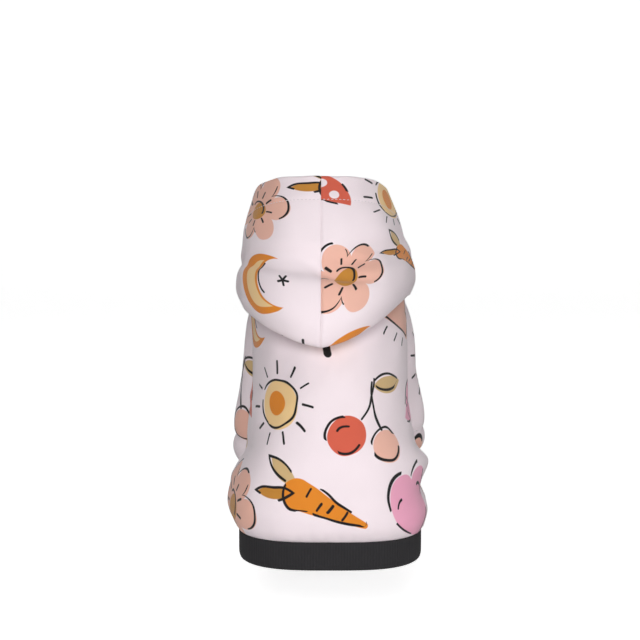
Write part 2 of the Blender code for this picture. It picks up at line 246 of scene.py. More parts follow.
def unit(vectors: np.ndarray) -> np.ndarray:
    """The same directions with length 1."""
    return vectors / np.maximum(np.linalg.norm(vectors, axis=-1, keepdims=True), 1e-12)


def grid_normals(grid: np.ndarray, closed: bool) -> np.ndarray:
    """Outward directions of a grid of points.

    Args:
        grid: points by row and column.
        closed: whether the columns go all the way round.

    Returns:
        One unit vector for each point.
    """
    if closed:
        across = np.roll(grid, -1, axis=1) - np.roll(grid, 1, axis=1)
    else:
        across = np.gradient(grid, axis=1)
    return unit(np.cross(across, np.gradient(grid, axis=0)))


def bump(distance: np.ndarray, width: float) -> np.ndarray:
    """A soft hump of height 1 at distance 0."""
    return np.exp(-((distance / width) ** 2))


def ripple(u: np.ndarray, v: np.ndarray, seed: int, terms: int = 7) -> np.ndarray:
    """A smooth uneven pattern of about -1 to 1, whose features are about one unit across.

    Args:
        u: first coordinate, in features.
        v: second coordinate, in features.
        seed: picks the pattern.
        terms: how many waves it is made of.

    Returns:
        The pattern at each place.
    """
    waves = np.random.default_rng(seed)
    total = np.zeros(np.broadcast(u, v).shape)
    for _ in range(terms):
        turn, phase, pace = waves.uniform(0, tau), waves.uniform(0, tau), waves.uniform(0.7, 1.5)
        total += np.sin(tau / 2 * pace * (u * cos(turn) + v * sin(turn)) + phase)
    return total / terms**0.5


def arc_lengths(grid: np.ndarray, axis: int) -> Field2D:
    """Length along a grid's rows or columns, from its first point on."""
    steps = np.linalg.norm(np.diff(grid, axis=axis), axis=2)
    start = np.zeros_like(np.take(steps, [0], axis=axis))
    return np.cumsum(np.concatenate([start, steps], axis=axis), axis=axis)


@dataclass
class Sheet:
    """One layer of cloth as a net of points, before it gets its thickness.

    The columns of values are the outer face's place (0-2), its outward direction (3-5), its place on the
    print (6-7), the wall's thickness (8), and how far the point belongs to a turned hem (9).
    """

    values: np.ndarray
    quads: np.ndarray
    others: list[list[int]] = field(default_factory=list)
    turn_length: float = 0.0  # where the columns go all the way round, the print's length round

    @classmethod
    def from_grid(
        cls,
        places: np.ndarray,
        outward: np.ndarray,
        prints: tuple[Field2D, Field2D],
        wall: Field2D | float,
        hem: Field2D | float = 0.0,
        turn_length: float = 0.0,
    ) -> "Sheet":
        """Makes the net of a grid of points.

        Args:
            places: the outer face's points by row and column.
            outward: their outward directions.
            prints: the print's two coordinates at each point, in metres.
            wall: thickness of the cloth.
            hem: 1 where the cloth is a turned hem.
            turn_length: above 0 for columns that go all the way round: the print's length round.

        Returns:
            The sheet.
        """
        shape = places.shape[:2]
        columns = [places, outward] + [np.broadcast_to(x, shape)[..., None] for x in (*prints, wall, hem)]
        index = np.arange(shape[0] * shape[1]).reshape(shape)
        left, right = (index, np.roll(index, -1, axis=1)) if turn_length else (index[:, :-1], index[:, 1:])
        quads = np.stack([left[:-1], right[:-1], right[1:], left[1:]], axis=-1).reshape(-1, 4)
        sheet = cls(np.concatenate(columns, axis=2).reshape(-1, 10), quads, [], turn_length)
        a, b, c = (sheet.values[quads[:, k], :3] for k in (0, 1, 2))
        facing = np.einsum("ij,ij->i", np.cross(b - a, c - a), sheet.values[quads[:, 0], 3:6])
        if facing.sum() < 0:
            sheet.quads = quads[:, ::-1]
        return sheet

    def cut(self, signed: np.ndarray) -> "Sheet":
        """Cuts the sheet along the line where a signed distance is 0, and keeps the side above 0.

        Args:
            signed: the distance at each point.

        Returns:
            The kept part, with new points on the line.
        """
        inside = signed > 0
        all_in = inside[self.quads].all(axis=1)
        some_in = inside[self.quads].any(axis=1) & ~all_in
        made: dict[tuple[int, int], int] = {}
        extra: list[np.ndarray] = []
        others: list[list[int]] = []
        for quad in self.quads[some_in].tolist():
            corners: list[int] = []
            for a, b in zip(quad, quad[1:] + quad[:1]):
                if inside[a]:
                    corners.append(a)
                if inside[a] != inside[b]:
                    key = (min(a, b), max(a, b))
                    if key not in made:
                        made[key] = len(self.values) + len(extra)
                        share = signed[key[0]] / (signed[key[0]] - signed[key[1]])
                        extra.append(self.values[key[0]] * (1 - share) + self.values[key[1]] * share)
                    corners.append(made[key])
            if len(corners) > 2:
                others.append(corners)
        values = np.concatenate([self.values, extra]) if extra else self.values
        return Sheet(values, self.quads[all_in], others, self.turn_length)

    def tree(self) -> BVHTree:
        """A search tree of the outer face."""
        return BVHTree.FromPolygons(self.values[:, :3].tolist(), self.quads.tolist() + self.others)

    def _boundary(self) -> np.ndarray:
        """The directed edges that only one face has."""
        edges = [np.stack([self.quads[:, k], self.quads[:, (k + 1) % 4]], axis=1) for k in range(4)]
        for face in self.others:
            edges.append(np.array(list(zip(face, face[1:] + face[:1]))))
        pairs = np.concatenate(edges)
        codes = pairs[:, 0] * len(self.values) + pairs[:, 1]
        back = pairs[:, 1] * len(self.values) + pairs[:, 0]
        return pairs[~np.isin(codes, back)]

    def wall(
        self, name: str, right_side: bpy.types.Material, wrong_side: bpy.types.Material
    ) -> bpy.types.Object:
        """Gives the sheet its thickness, with rounded edges.

        Args:
            name: the piece's name.
            right_side: material of the outer face, the edges and the turned hems.
            wrong_side: material of the inner face.

        Returns:
            The piece.
        """
        keep, renumber = np.unique(
            np.concatenate([self.quads.ravel(), *[np.array(f) for f in self.others]]), return_inverse=True
        )
        table = np.zeros(len(self.values), int)
        table[keep] = np.arange(len(keep))
        small = Sheet(self.values[keep], table[self.quads], [table[f].tolist() for f in self.others])
        values, count = small.values, len(keep)
        outer, direction, thick = values[:, :3], values[:, 3:6], values[:, 8:9]
        inner = outer - direction * thick
        edge = small._boundary()
        off = np.zeros_like(outer)
        along = outer[edge[:, 1]] - outer[edge[:, 0]]
        for end in (0, 1):
            np.add.at(off, edge[:, end], np.cross(along, direction[edge[:, end]]))
        on_edge = np.unique(edge)
        middle = np.full(count, -1)
        middle[on_edge] = 2 * count + np.arange(len(on_edge))
        rounded = (outer + inner)[on_edge] / 2 + unit(off[on_edge]) * thick[on_edge] * 0.32
        a, b = edge[:, 0], edge[:, 1]
        rims = np.concatenate(
            [
                np.stack([b, a, middle[a], middle[b]], axis=1),
                np.stack([middle[b], middle[a], a + count, b + count], axis=1),
            ]
        )
        front = small.quads.tolist() + small.others
        back = [[v + count for v in reversed(face)] for face in front]
        faces = front + back + rims.tolist()
        hem = [values[face[0], 9] > 0.5 for face in front]
        slots = [0] * len(front) + [0 if turned else 1 for turned in hem] + [0] * len(rims)
        prints = np.concatenate([values[:, 6:8], values[:, 6:8], values[on_edge, 6:8]])
        points = np.concatenate([outer, inner, rounded])
        return piece_from(name, points, faces, slots, prints, (right_side, wrong_side), self.turn_length)


def piece_from(
    name: str,
    points: Places,
    faces: list[list[int]],
    slots: list[int],
    prints: np.ndarray,
    materials: Sequence[bpy.types.Material],
    turn_length: float = 0.0,
) -> bpy.types.Object:
    """A new smooth piece with its print map.

    Args:
        name: the piece's name.
        points: its points.
        faces: point numbers of each face.
        slots: material slot of each face.
        prints: the print's two coordinates at each point.
        materials: the materials of the slots.
        turn_length: above 0 where the print closes on itself after this length.

    Returns:
        The piece, linked to the scene.
    """
    mesh = bpy.data.meshes.new(name)
    mesh.from_pydata(points.tolist(), [], faces)
    for material in materials:
        mesh.materials.append(material)
    mesh.polygons.foreach_set("material_index", slots)
    mesh.shade_smooth()
    corners = np.array([v for face in faces for v in face])
    at = prints[corners].copy()
    if turn_length:
        sizes = np.array([len(face) for face in faces])
        face_of = np.repeat(np.arange(len(faces)), sizes)
        furthest = np.full(len(faces), -np.inf)
        np.maximum.at(furthest, face_of, at[:, 0])
        at[:, 0] += turn_length * (furthest[face_of] - at[:, 0] > turn_length / 2)
    mesh.uv_layers.new(name=PRINT_MAP).data.foreach_set("uv", at.ravel())
    mesh.update()
    piece = bpy.data.objects.new(name, mesh)
    bpy.context.collection.objects.link(piece)
    return piece


@dataclass
class BodyForm:
    """The form that the cloth follows. All of its sizes are the CAD model's own."""

    torso_height: float = 0.2385
    chest_width: float = 0.144
    chest_depth: float = 0.192
    cloth_wall: float = 0.002
    seam_gap: float = 0.0003
    fold_height: float = 0.008
    folds_fade: float = 0.04
    folds_top: float = 0.62
    folds_top_fade: float = 0.10
    neck_seam: float = 1.0
    origin: np.ndarray = field(init=False)

    def __post_init__(self) -> None:
        """Finds the origin, on the inside of the cloth at the neck seam."""
        self.origin = np.zeros(3)
        seam = self.point(np.array(self.neck_seam), np.array(0.0))
        tilt = radians(float(self.rings(np.array(self.neck_seam)).tilt))
        self.origin = np.array(
            (0.0, seam[1] + self.cloth_wall * cos(tilt), seam[2] - self.cloth_wall * sin(tilt))
        )

    def rings(self, height: np.ndarray) -> Ring:
        """The ring at each height, as one array for each of its values."""
        values = smooth_values([ring.height for ring in RINGS], RINGS, height)
        return Ring(*np.moveaxis(values, -1, 0))

    def point(self, height: np.ndarray, angle: np.ndarray) -> Places:
        """Points of the smooth form.

        Args:
            height: share of the torso's height, 0 at the waist seam and 1 at the neck seam.
            angle: degrees round the body.

        Returns:
            One point for each height and angle.
        """
        height, angle = np.broadcast_arrays(height, angle)
        ring = self.rings(height)
        turn, tilt = np.radians(angle), np.radians(ring.tilt)
        reach = np.where(np.cos(turn) > 0, ring.back, ring.chest)
        out = 1.0 + ring.corner * np.sin(2.0 * turn) ** 2
        along = -np.cos(turn) * out * reach * self.chest_depth / 2
        x = np.sin(turn) * out * ring.side * self.chest_width / 2 + ring.lean * self.chest_width
        y = ring.forward * self.chest_depth + along * np.cos(tilt)
        z = (ring.height + ring.side_rise * np.sin(turn) ** 2) * self.torso_height - along * np.sin(tilt)
        return np.stack([x, y, z], axis=-1) - self.origin

    def outward(self, height: np.ndarray, angle: np.ndarray) -> Places:
        """Outward directions of the smooth form at each height and angle."""
        height, angle = np.broadcast_arrays(height, angle)
        above, below = np.minimum(height + 0.004, RIM), np.maximum(height - 0.004, 0.0)
        up = self.point(above, angle) - self.point(below, angle)
        across = self.point(height, angle + 1.0) - self.point(height, angle - 1.0)
        return unit(np.cross(across, up))

    def fold_rise(self, height: np.ndarray, angle: np.ndarray, folds: Sequence[Fold]) -> np.ndarray:
        """How far some folds lift the body cloth.

        Args:
            height: share of the torso's height.
            angle: degrees round the body.
            folds: the folds.

        Returns:
            Metres at each place.
        """
        total = np.zeros(np.broadcast(height, angle).shape)
        for fold in folds:
            away = (angle - fold.angle + 180.0) % 360.0 - 180.0
            off = height - fold.height - fold.slant * away
            total += fold.rise * bump(off, fold.tall) * bump(away, fold.wide)
        at_top = np.clip((self.folds_top - height) / self.folds_top_fade, 0.0, 1.0)
        return self.fold_height * total * np.minimum(1.0, height / self.folds_fade) * at_top


@dataclass
class SleeveForm:
    """The tube of one front-leg sleeve, whose sizes are the CAD model's own."""

    form: BodyForm
    side: Side
    radius: float = 0.032

    def station(self, share: np.ndarray) -> tuple[Places, np.ndarray]:
        """Centres and radii of the tube.

        Args:
            share: 0 inside the shoulder, 1 at the cuff seam.

        Returns:
            The centres, and the radii.
        """
        knots = np.linspace(0.0, 1.0, len(SLEEVE_STATIONS))
        at = Station(*np.moveaxis(smooth_values(knots, SLEEVE_STATIONS, share), -1, 0))
        across = self.side.sign * (at.side + self.side.spread * share**2) * self.form.chest_width / 2
        height = (at.height + self.side.lift * share**2) * self.form.torso_height
        centre = np.stack([across, at.forward * self.form.chest_depth, height], axis=-1)
        return centre - self.form.origin, at.radius * self.radius

    def upwards(self, share: np.ndarray) -> Places:
        """Directions of the middle line, from the cuff to the shoulder."""
        upper = self.station(np.maximum(share - 0.03, 0.0))[0]
        return unit(upper - self.station(np.minimum(share + 0.03, 1.0))[0])

    def circles(self, centre: Places, upwards: Places, radius: np.ndarray, columns: int) -> np.ndarray:
        """Circles about points of the middle line, from the -Y side round.

        Args:
            centre: one centre a row.
            upwards: one direction a row.
            radius: one radius a row.
            columns: points in each circle.

        Returns:
            The points by row and column.
        """
        right = unit(np.cross(np.array((0.0, 1.0, 0.0)), upwards))
        ahead = np.cross(upwards, right)
        turns = np.linspace(0.0, tau, columns, endpoint=False)[None, :, None]
        spokes = np.sin(turns) * right[:, None] - np.cos(turns) * ahead[:, None]
        return centre[:, None] + radius[:, None, None] * spokes

    def distance(self, places: Places) -> np.ndarray:
        """Signed distances from the tube's outer face, above 0 outside, with flat ends."""
        shares = np.linspace(0.0, 1.0, 201)
        centres, radii = self.station(shares)
        found = np.full(len(places), 1.0)
        low, high = centres.min(axis=0) - 0.06, centres.max(axis=0) + 0.06
        near = np.flatnonzero(((places > low) & (places < high)).all(axis=1))
        gaps = np.linalg.norm(places[near, None] - centres[None], axis=2)
        best = gaps.argmin(axis=1)
        found[near] = gaps[np.arange(len(near)), best] - radii[best]
        top = unit(self.upwards(shares[:1]))[0]
        past = (places[near] - centres[0]) @ top
        found[near] = np.where(past > 0, np.maximum(found[near], past), found[near])
        return found


@dataclass(frozen=True)
class Socket:
    """A number, vector or colour that varies over the surface: one output socket in a node tree."""

    tree: bpy.types.NodeTree
    plug: bpy.types.NodeSocket

    def math(self, operation: str, *others: "Socket | float", clamp: bool = False) -> "Socket":
        """A Math node with this number as its first input.

        Args:
            operation: the node's operation.
            others: its other inputs.
            clamp: whether the result stays between 0 and 1.

        Returns:
            The node's result.
        """
        node = self.tree.nodes.new("ShaderNodeMath")
        node.operation, node.use_clamp = operation, clamp
        return wired(self.tree, node, [self, *others])

    def vector(self, operation: str, *others: "Socket | tuple", out: str = "Vector") -> "Socket":
        """A Vector Math node with this vector as its first input.

        Args:
            operation: the node's operation.
            others: its other inputs.
            out: the output to read, Vector or Value.

        Returns:
            The node's result.
        """
        node = self.tree.nodes.new("ShaderNodeVectorMath")
        node.operation = operation
        return wired(self.tree, node, [self, *others], out)

    def __add__(self, other: "Socket | float") -> "Socket":
        """The sum."""
        return self.math("ADD", other)

    def __sub__(self, other: "Socket | float") -> "Socket":
        """The difference."""
        return self.math("SUBTRACT", other)

    def __mul__(self, other: "Socket | float") -> "Socket":
        """The product."""
        return self.math("MULTIPLY", other)

    def least(self, other: "Socket | float") -> "Socket":
        """The lesser of the two."""
        return self.math("MINIMUM", other)

    def most(self, other: "Socket | float") -> "Socket":
        """The greater of the two."""
        return self.math("MAXIMUM", other)

    def magnitude(self) -> "Socket":
        """The number without its sign."""
        return self.math("ABSOLUTE")

    def parts(self) -> tuple["Socket", "Socket"]:
        """The vector's X and Y."""
        node = self.tree.nodes.new("ShaderNodeSeparateXYZ")
        self.tree.links.new(self.plug, node.inputs[0])
        return Socket(self.tree, node.outputs[0]), Socket(self.tree, node.outputs[1])

    def placed(self, x: float, y: float, turn: float = 0.0, wide: float = 1.0, tall: float = 1.0) -> "Socket":
        """The vector as seen from a frame of its own.

        Args:
            x: where the frame's centre is.
            y: the same, upwards.
            turn: how far the frame is turned, in degrees.
            wide: the frame's unit across.
            tall: the frame's unit upwards.

        Returns:
            The vector in that frame.
        """
        node = self.tree.nodes.new("ShaderNodeMapping")
        node.vector_type = "TEXTURE"
        node.inputs["Location"].default_value = (x, y, 0.0)
        node.inputs["Rotation"].default_value = (0.0, 0.0, radians(turn))
        node.inputs["Scale"].default_value = (wide, tall, 1.0)
        return wired(self.tree, node, [self])

    def noise(self, scale: float, detail: float = 1.0, out: str = "Color") -> "Socket":
        """A Noise Texture read at this vector.

        Args:
            scale: features to a unit of the vector.
            detail: how many finer layers are added.
            out: Color for three numbers, or Fac for one.

        Returns:
            The noise, from 0 to 1.
        """
        node = self.tree.nodes.new("ShaderNodeTexNoise")
        node.noise_dimensions = "2D"
        node.inputs["Scale"].default_value = scale
        node.inputs["Detail"].default_value = detail
        self.tree.links.new(self.plug, node.inputs["Vector"])
        return Socket(self.tree, node.outputs[out])

    def over(self, below: "Socket | tuple", above: "Socket | tuple") -> "Socket":
        """A Mix node of two colours, with this number as its factor.

        Args:
            below: the colour at 0.
            above: the colour at 1.

        Returns:
            The mixed colour.
        """
        node = self.tree.nodes.new("ShaderNodeMix")
        node.data_type = "RGBA"
        feed(self.tree, node.inputs["Factor"], self)
        feed(self.tree, node.inputs[6], below)
        feed(self.tree, node.inputs[7], above)
        return Socket(self.tree, node.outputs[2])


def feed(tree: bpy.types.NodeTree, socket: bpy.types.NodeSocket, value: "Socket | float | tuple") -> None:
    """Links a socket to another, or sets its value."""
    if isinstance(value, Socket):
        tree.links.new(value.plug, socket)
    elif isinstance(value, tuple) and len(socket.default_value) == 4:
        socket.default_value = (*value[:3], 1.0)
    else:
        socket.default_value = value


def wired(tree: bpy.types.NodeTree, node: bpy.types.Node, values: Sequence, out: str | int = 0) -> Socket:
    """Feeds a node's inputs in their order.

    Args:
        tree: the node's tree.
        node: the node.
        values: what each input gets.
        out: the output to read.

    Returns:
        That output.
    """
    for socket, value in zip(node.inputs, values):
        feed(tree, socket, value)
    return Socket(tree, node.outputs[out])


def linear(code: str) -> tuple[float, float, float]:
    """A colour code of six hex digits as linear red, green and blue."""
    shares = [int(code[k : k + 2], 16) / 255 for k in (0, 2, 4)]
    return tuple(x / 12.92 if x <= 0.04045 else ((x + 0.055) / 1.055) ** 2.4 for x in shares)


class Ink(Enum):
    """The print's colours."""

    CLOTH = "f7e9ee"
    SALMON = "f0bba9"
    ORANGE = "e58a2a"
    YELLOW = "f4cf96"
    MUSTARD = "c78939"
    BROWN = "9e5a24"
    PINK = "f1a9c4"
    CORAL = "d8634d"
    TAN = "d3b482"
    BLACK = "1d1c1d"

    @property
    def colour(self) -> tuple[float, float, float]:
        """The colour in linear red, green and blue."""
        return linear(self.value)


def disc(at: Socket, x: float, y: float, radius: float) -> Socket:
    """Distance from the edge of a disc, below 0 inside."""
    return at.vector("DISTANCE", (x, y, 0.0), out="Value") - radius


def oval(at: Socket, x: float, y: float, wide: float, tall: float, turn: float = 0.0) -> Socket:
    """Rough distance from the edge of an oval with these half sizes."""
    share = at.placed(x, y, turn, wide, tall).vector("LENGTH", out="Value")
    return (share - 1.0) * min(wide, tall)


def leaf(at: Socket, x: float, y: float, long: float, thick: float, turn: float = 0.0) -> Socket:
    """Distance from the edge of a leaf with two points, of these half sizes."""
    radius = (long**2 + thick**2) / (2 * thick)
    folded = at.placed(x, y, turn).vector("ABSOLUTE")
    return folded.vector("DISTANCE", (0.0, thick - radius, 0.0), out="Value") - radius


def lobes(
    at: Socket, x: float, y: float, radius: float, count: int, depth: float, turn: float = 0.0
) -> Socket:
    """Rough distance from the edge of a round shape with lobes.

    Args:
        at: the place on the print.
        x: the shape's centre.
        y: the same, upwards.
        radius: from the centre to the notches.
        count: how many lobes.
        depth: how far the lobes stand out from the notches.
        turn: how far the shape is turned, in degrees.

    Returns:
        The distance, below 0 inside.
    """
    local = at.placed(x, y, turn)
    across, up = local.parts()
    wave = up.math("ARCTAN2", across).math("MULTIPLY", count / 2).math("SINE").magnitude().math("POWER", 0.7)
    return local.vector("LENGTH", out="Value") - wave.math("MULTIPLY_ADD", depth, radius)


def heart(at: Socket, x: float, y: float, size: float, turn: float = 0.0) -> Socket:
    """Rough distance from the edge of a heart whose half width is its size."""
    across, up = at.placed(x, y, turn, size, size).parts()
    lifted = up - (across.magnitude() + 0.02).math("SQRT") * 0.62
    return ((across * across + lifted * lifted).math("SQRT") - 0.92) * (size * 0.9)


def stroke(at: Socket, x: float, y: float, long: float, turn: float, start: float, end: float) -> Socket:
    """Distance from the edge of a straight stroke whose half thickness changes along it.

    Args:
        at: the place on the print.
        x: where it starts.
        y: the same, upwards.
        long: its length.
        turn: its direction, in degrees.
        start: half thickness where it starts.
        end: half thickness where it ends.

    Returns:
        The distance, below 0 inside.
    """
    across, up = at.placed(x, y, turn, long, long).parts()
    share = across.math("ADD", 0.0, clamp=True)
    past = across - share
    away = (past * past + up * up).math("SQRT") * long
    return away - share.math("MULTIPLY_ADD", end - start, start)


def bow(at: Socket, x: float, y: float, radius: float, turn: float, reach: float) -> Socket:
    """Distance from a bent pen line: part of a circle.

    Args:
        at: the place on the print.
        x: the circle's centre.
        y: the same, upwards.
        radius: the circle's radius.
        turn: where the line's middle is, in degrees round the circle.
        reach: how far the line goes to each side of its middle, in degrees.

    Returns:
        The distance.
    """
    folded = at.placed(x, y, turn)
    across, up = folded.parts()
    up = up.magnitude()
    ring = (folded.vector("LENGTH", out="Value") - radius).magnitude()
    tip_x, tip_y = across - radius * cos(radians(reach)), up - radius * sin(radians(reach))
    tip = (tip_x * tip_x + tip_y * tip_y).math("SQRT")
    beside = (across * sin(radians(reach)) - up * cos(radians(reach))).math("GREATER_THAN", 0.0)
    return tip + beside * (ring - tip)


def rays(at: Socket, x: float, y: float, start: float, end: float, count: int, turn: float = 0.0) -> Socket:
    """Distance from short pen lines that point away from a centre, evenly round it.

    Args:
        at: the place on the print.
        x: the centre.
        y: the same, upwards.
        start: how far from the centre the lines start.
        end: how far from the centre they end.
        count: how many there are.
        turn: how far they are turned, in degrees.

    Returns:
        The distance.
    """
    local = at.placed(x, y, turn)
    across, up = local.parts()
    half = tau / 2 / count
    away = up.math("ARCTAN2", across).math("WRAP", half, -half)
    far = local.vector("LENGTH", out="Value")
    along, beside = far * away.math("COSINE"), far * away.math("SINE")
    past = (along * -1.0 + start).most(along - end).most(0.0)
    return (past * past + beside * beside).math("SQRT")


class Motif:
    """One drawing of the print: flat patches of colour, and pen lines that don't quite follow them."""

    def __init__(self, x: float, y: float, turn: float, draw: Callable[["Motif"], None]) -> None:
        """Keeps the place, in millimetres, and the direction of a drawing, and the function that draws it."""
        self.x, self.y, self.turn, self.draw = x, y, turn, draw
        self.fill_at = self.pen_at = self.colour = self.outline = self.pen = None

    def patch(self, shape: Callable[[Socket], Socket], ink: Ink, outlined: bool = True) -> None:
        """Lays a patch of colour.

        Args:
            shape: gives the distance from the patch's edge at a place.
            ink: the colour.
            outlined: whether a pen line goes round it.
        """
        mask = shape(self.fill_at).math("MULTIPLY_ADD", -2.5, 0.5, clamp=True)
        self.colour = mask.over(self.colour, ink.colour)
        if outlined:
            self.outline = self.outline.least(shape(self.pen_at).magnitude())

    def line(self, distance: Socket) -> None:
        """Draws a pen line."""
        self.pen = self.pen.least(distance)


def draw_flower(m: Motif) -> None:
    """A blossom with a round middle."""
    m.patch(lambda p: lobes(p, 0, 0, 15.0, 6, 10.5, 12), Ink.SALMON)
    m.patch(lambda p: disc(p, 0.5, -0.5, 7.2), Ink.MUSTARD, outlined=False)
    m.line(rays(m.pen_at, 0, 0, 9.5, 13.5, 9, 5))
    m.line(bow(m.pen_at, 0.0, 0.0, 6.4, 30, 80))


def draw_clover(m: Motif) -> None:
    """A clover leaf in solid black."""
    m.patch(lambda p: lobes(p, 0, 2.0, 9.0, 3, 12.5, 60), Ink.BLACK, outlined=False)
    m.patch(lambda p: stroke(p, 0, 0, 23.0, -100, 1.4, 2.2), Ink.BLACK, outlined=False)


def draw_carrot(m: Motif) -> None:
    """A carrot with three leaves."""
    m.patch(lambda p: leaf(p, -25, 7.5, 11.5, 3.8, 160), Ink.TAN)
    m.patch(lambda p: leaf(p, -25, -5.5, 11.0, 3.4, 205), Ink.MUSTARD)
    m.patch(lambda p: stroke(p, -12.5, 0, 38.0, 0, 8.6, 1.6), Ink.ORANGE)
    for x, y, turn in ((-7.0, 4.2, -95), (1.5, -3.6, 80), (7.5, 2.4, -98), (15.0, -2.0, 82)):
        m.line(stroke(m.pen_at, x, y, 4.0, turn, 0.0, 0.0))


def draw_mushroom(m: Motif) -> None:
    """A spotted mushroom."""
    m.patch(lambda p: stroke(p, 0, -1, 19.0, -90, 5.4, 7.6), Ink.YELLOW)
    m.patch(lambda p: oval(p, 0, -2, 24.0, 20.0).most(p.parts()[1] * -1.0 - 1.0), Ink.CORAL)
    m.patch(
        lambda p: disc(p, -10, 6.5, 3.6).least(disc(p, 4, 11, 3.2)).least(disc(p, 13, 4.5, 2.8)),
        Ink.CLOTH,
        outlined=False,
    )
    m.line(bow(m.pen_at, 0, 3.0, 11.0, -90, 34))


def draw_moon(m: Motif) -> None:
    """A crescent moon."""
    m.patch(lambda p: disc(p, 0, 0, 22.0).most(disc(p, 11.5, 5.0, 17.0) * -1.0), Ink.ORANGE, outlined=False)
    m.patch(
        lambda p: disc(p, 1.5, -0.5, 17.0).most(disc(p, 10.0, 4.5, 17.6) * -1.0), Ink.YELLOW, outlined=False
    )
    m.line(bow(m.pen_at, 12.5, 6.0, 16.0, 200, 46))
    m.line(rays(m.pen_at, 16.0, 7.0, 0.0, 3.4, 5, 10))


def draw_heart(m: Motif) -> None:
    """A plump heart."""
    m.patch(lambda p: heart(p, 0, -3, 21.0), Ink.PINK)
    m.line(bow(m.pen_at, 8.0, 6.0, 7.0, 45, 50))
    m.line(bow(m.pen_at, -8.5, 5.5, 5.0, 130, 30))


def draw_cherries(m: Motif) -> None:
    """Two cherries on their stalks."""
    m.patch(lambda p: leaf(p, 11.5, 20.5, 12.5, 5.0, 12), Ink.TAN)
    m.patch(lambda p: disc(p, -13.5, -10, 10.5), Ink.CORAL)
    m.patch(lambda p: disc(p, 12, -13.5, 9.6), Ink.SALMON)
    m.line(bow(m.pen_at, -33.0, 19.0, 33.5, -16.5, 19.5))
    m.line(bow(m.pen_at, 34.0, 18.0, 35.0, 201, 22))
    m.line(bow(m.pen_at, -12.5, -10, 5.2, 125, 38))


def draw_sprig(m: Motif) -> None:
    """A twig with leaves on both sides."""
    m.patch(lambda p: leaf(p, -14, 8.5, 10.5, 4.6, 55), Ink.MUSTARD)
    m.patch(lambda p: leaf(p, 3, 10.5, 11.0, 4.8, 50).least(leaf(p, -6, -9.5, 10.5, 4.6, -52)), Ink.BROWN)
    m.patch(lambda p: leaf(p, 12, -9.0, 10.0, 4.4, -46).least(leaf(p, 24.5, 1.0, 8.5, 4.0, 4)), Ink.MUSTARD)
    m.line(bow(m.pen_at, -1.0, -82.0, 82.0, 88, 17))


def draw_fish(m: Motif) -> None:
    """A little striped fish."""
    m.patch(lambda p: leaf(p, 18, 6, 8.5, 3.9, 36).least(leaf(p, 18, -6, 8.5, 3.9, -36)), Ink.CORAL)
    m.patch(lambda p: leaf(p, -6, 0, 21.0, 10.5), Ink.PINK)
    m.line(bow(m.pen_at, -24.0, 0, 10.5, 0, 36))
    m.line(bow(m.pen_at, -16.0, 0, 15.0, 0, 26))
    m.line(bow(m.pen_at, -8.0, 0, 15.0, 0, 18))
    m.line(stroke(m.pen_at, -18.5, 2.6, 0.6, 0, 0.3, 0.3))


def draw_cloud(m: Motif) -> None:
    """A cloud with drops under it."""
    m.patch(
        lambda p: disc(p, -13, 0, 10.0).least(disc(p, 1.5, 6.0, 13.0)).least(disc(p, 15.5, 0.5, 9.5)).most(
            p.parts()[1] * -1.0 - 5.5
        ),
        Ink.SALMON,
    )
    for x in (-11.0, 0.0, 11.0):
        m.line(stroke(m.pen_at, x, -10.5, 4.6, -104, 0.0, 0.0))


def draw_sun(m: Motif) -> None:
    """A sun with short rays."""
    m.patch(lambda p: disc(p, 0, 0, 13.5), Ink.YELLOW)
    m.patch(lambda p: disc(p, -1.2, 0.8, 6.8), Ink.ORANGE, outlined=False)
    m.line(rays(m.pen_at, 0, 0, 17.5, 23.0, 11, 8))


def draw_acorn(m: Motif) -> None:
    """An acorn in its cup."""
    m.patch(lambda p: oval(p, 0, -4, 11.5, 16.0), Ink.TAN)
    m.patch(lambda p: oval(p, 0, 4, 15.0, 10.5).most(p.parts()[1] * -1.0 + 1.0), Ink.BROWN)
    m.line(stroke(m.pen_at, 0, 14.0, 6.0, 74, 0.0, 0.0))
    m.line(bow(m.pen_at, 0.5, -6.0, 8.0, -20, 40))


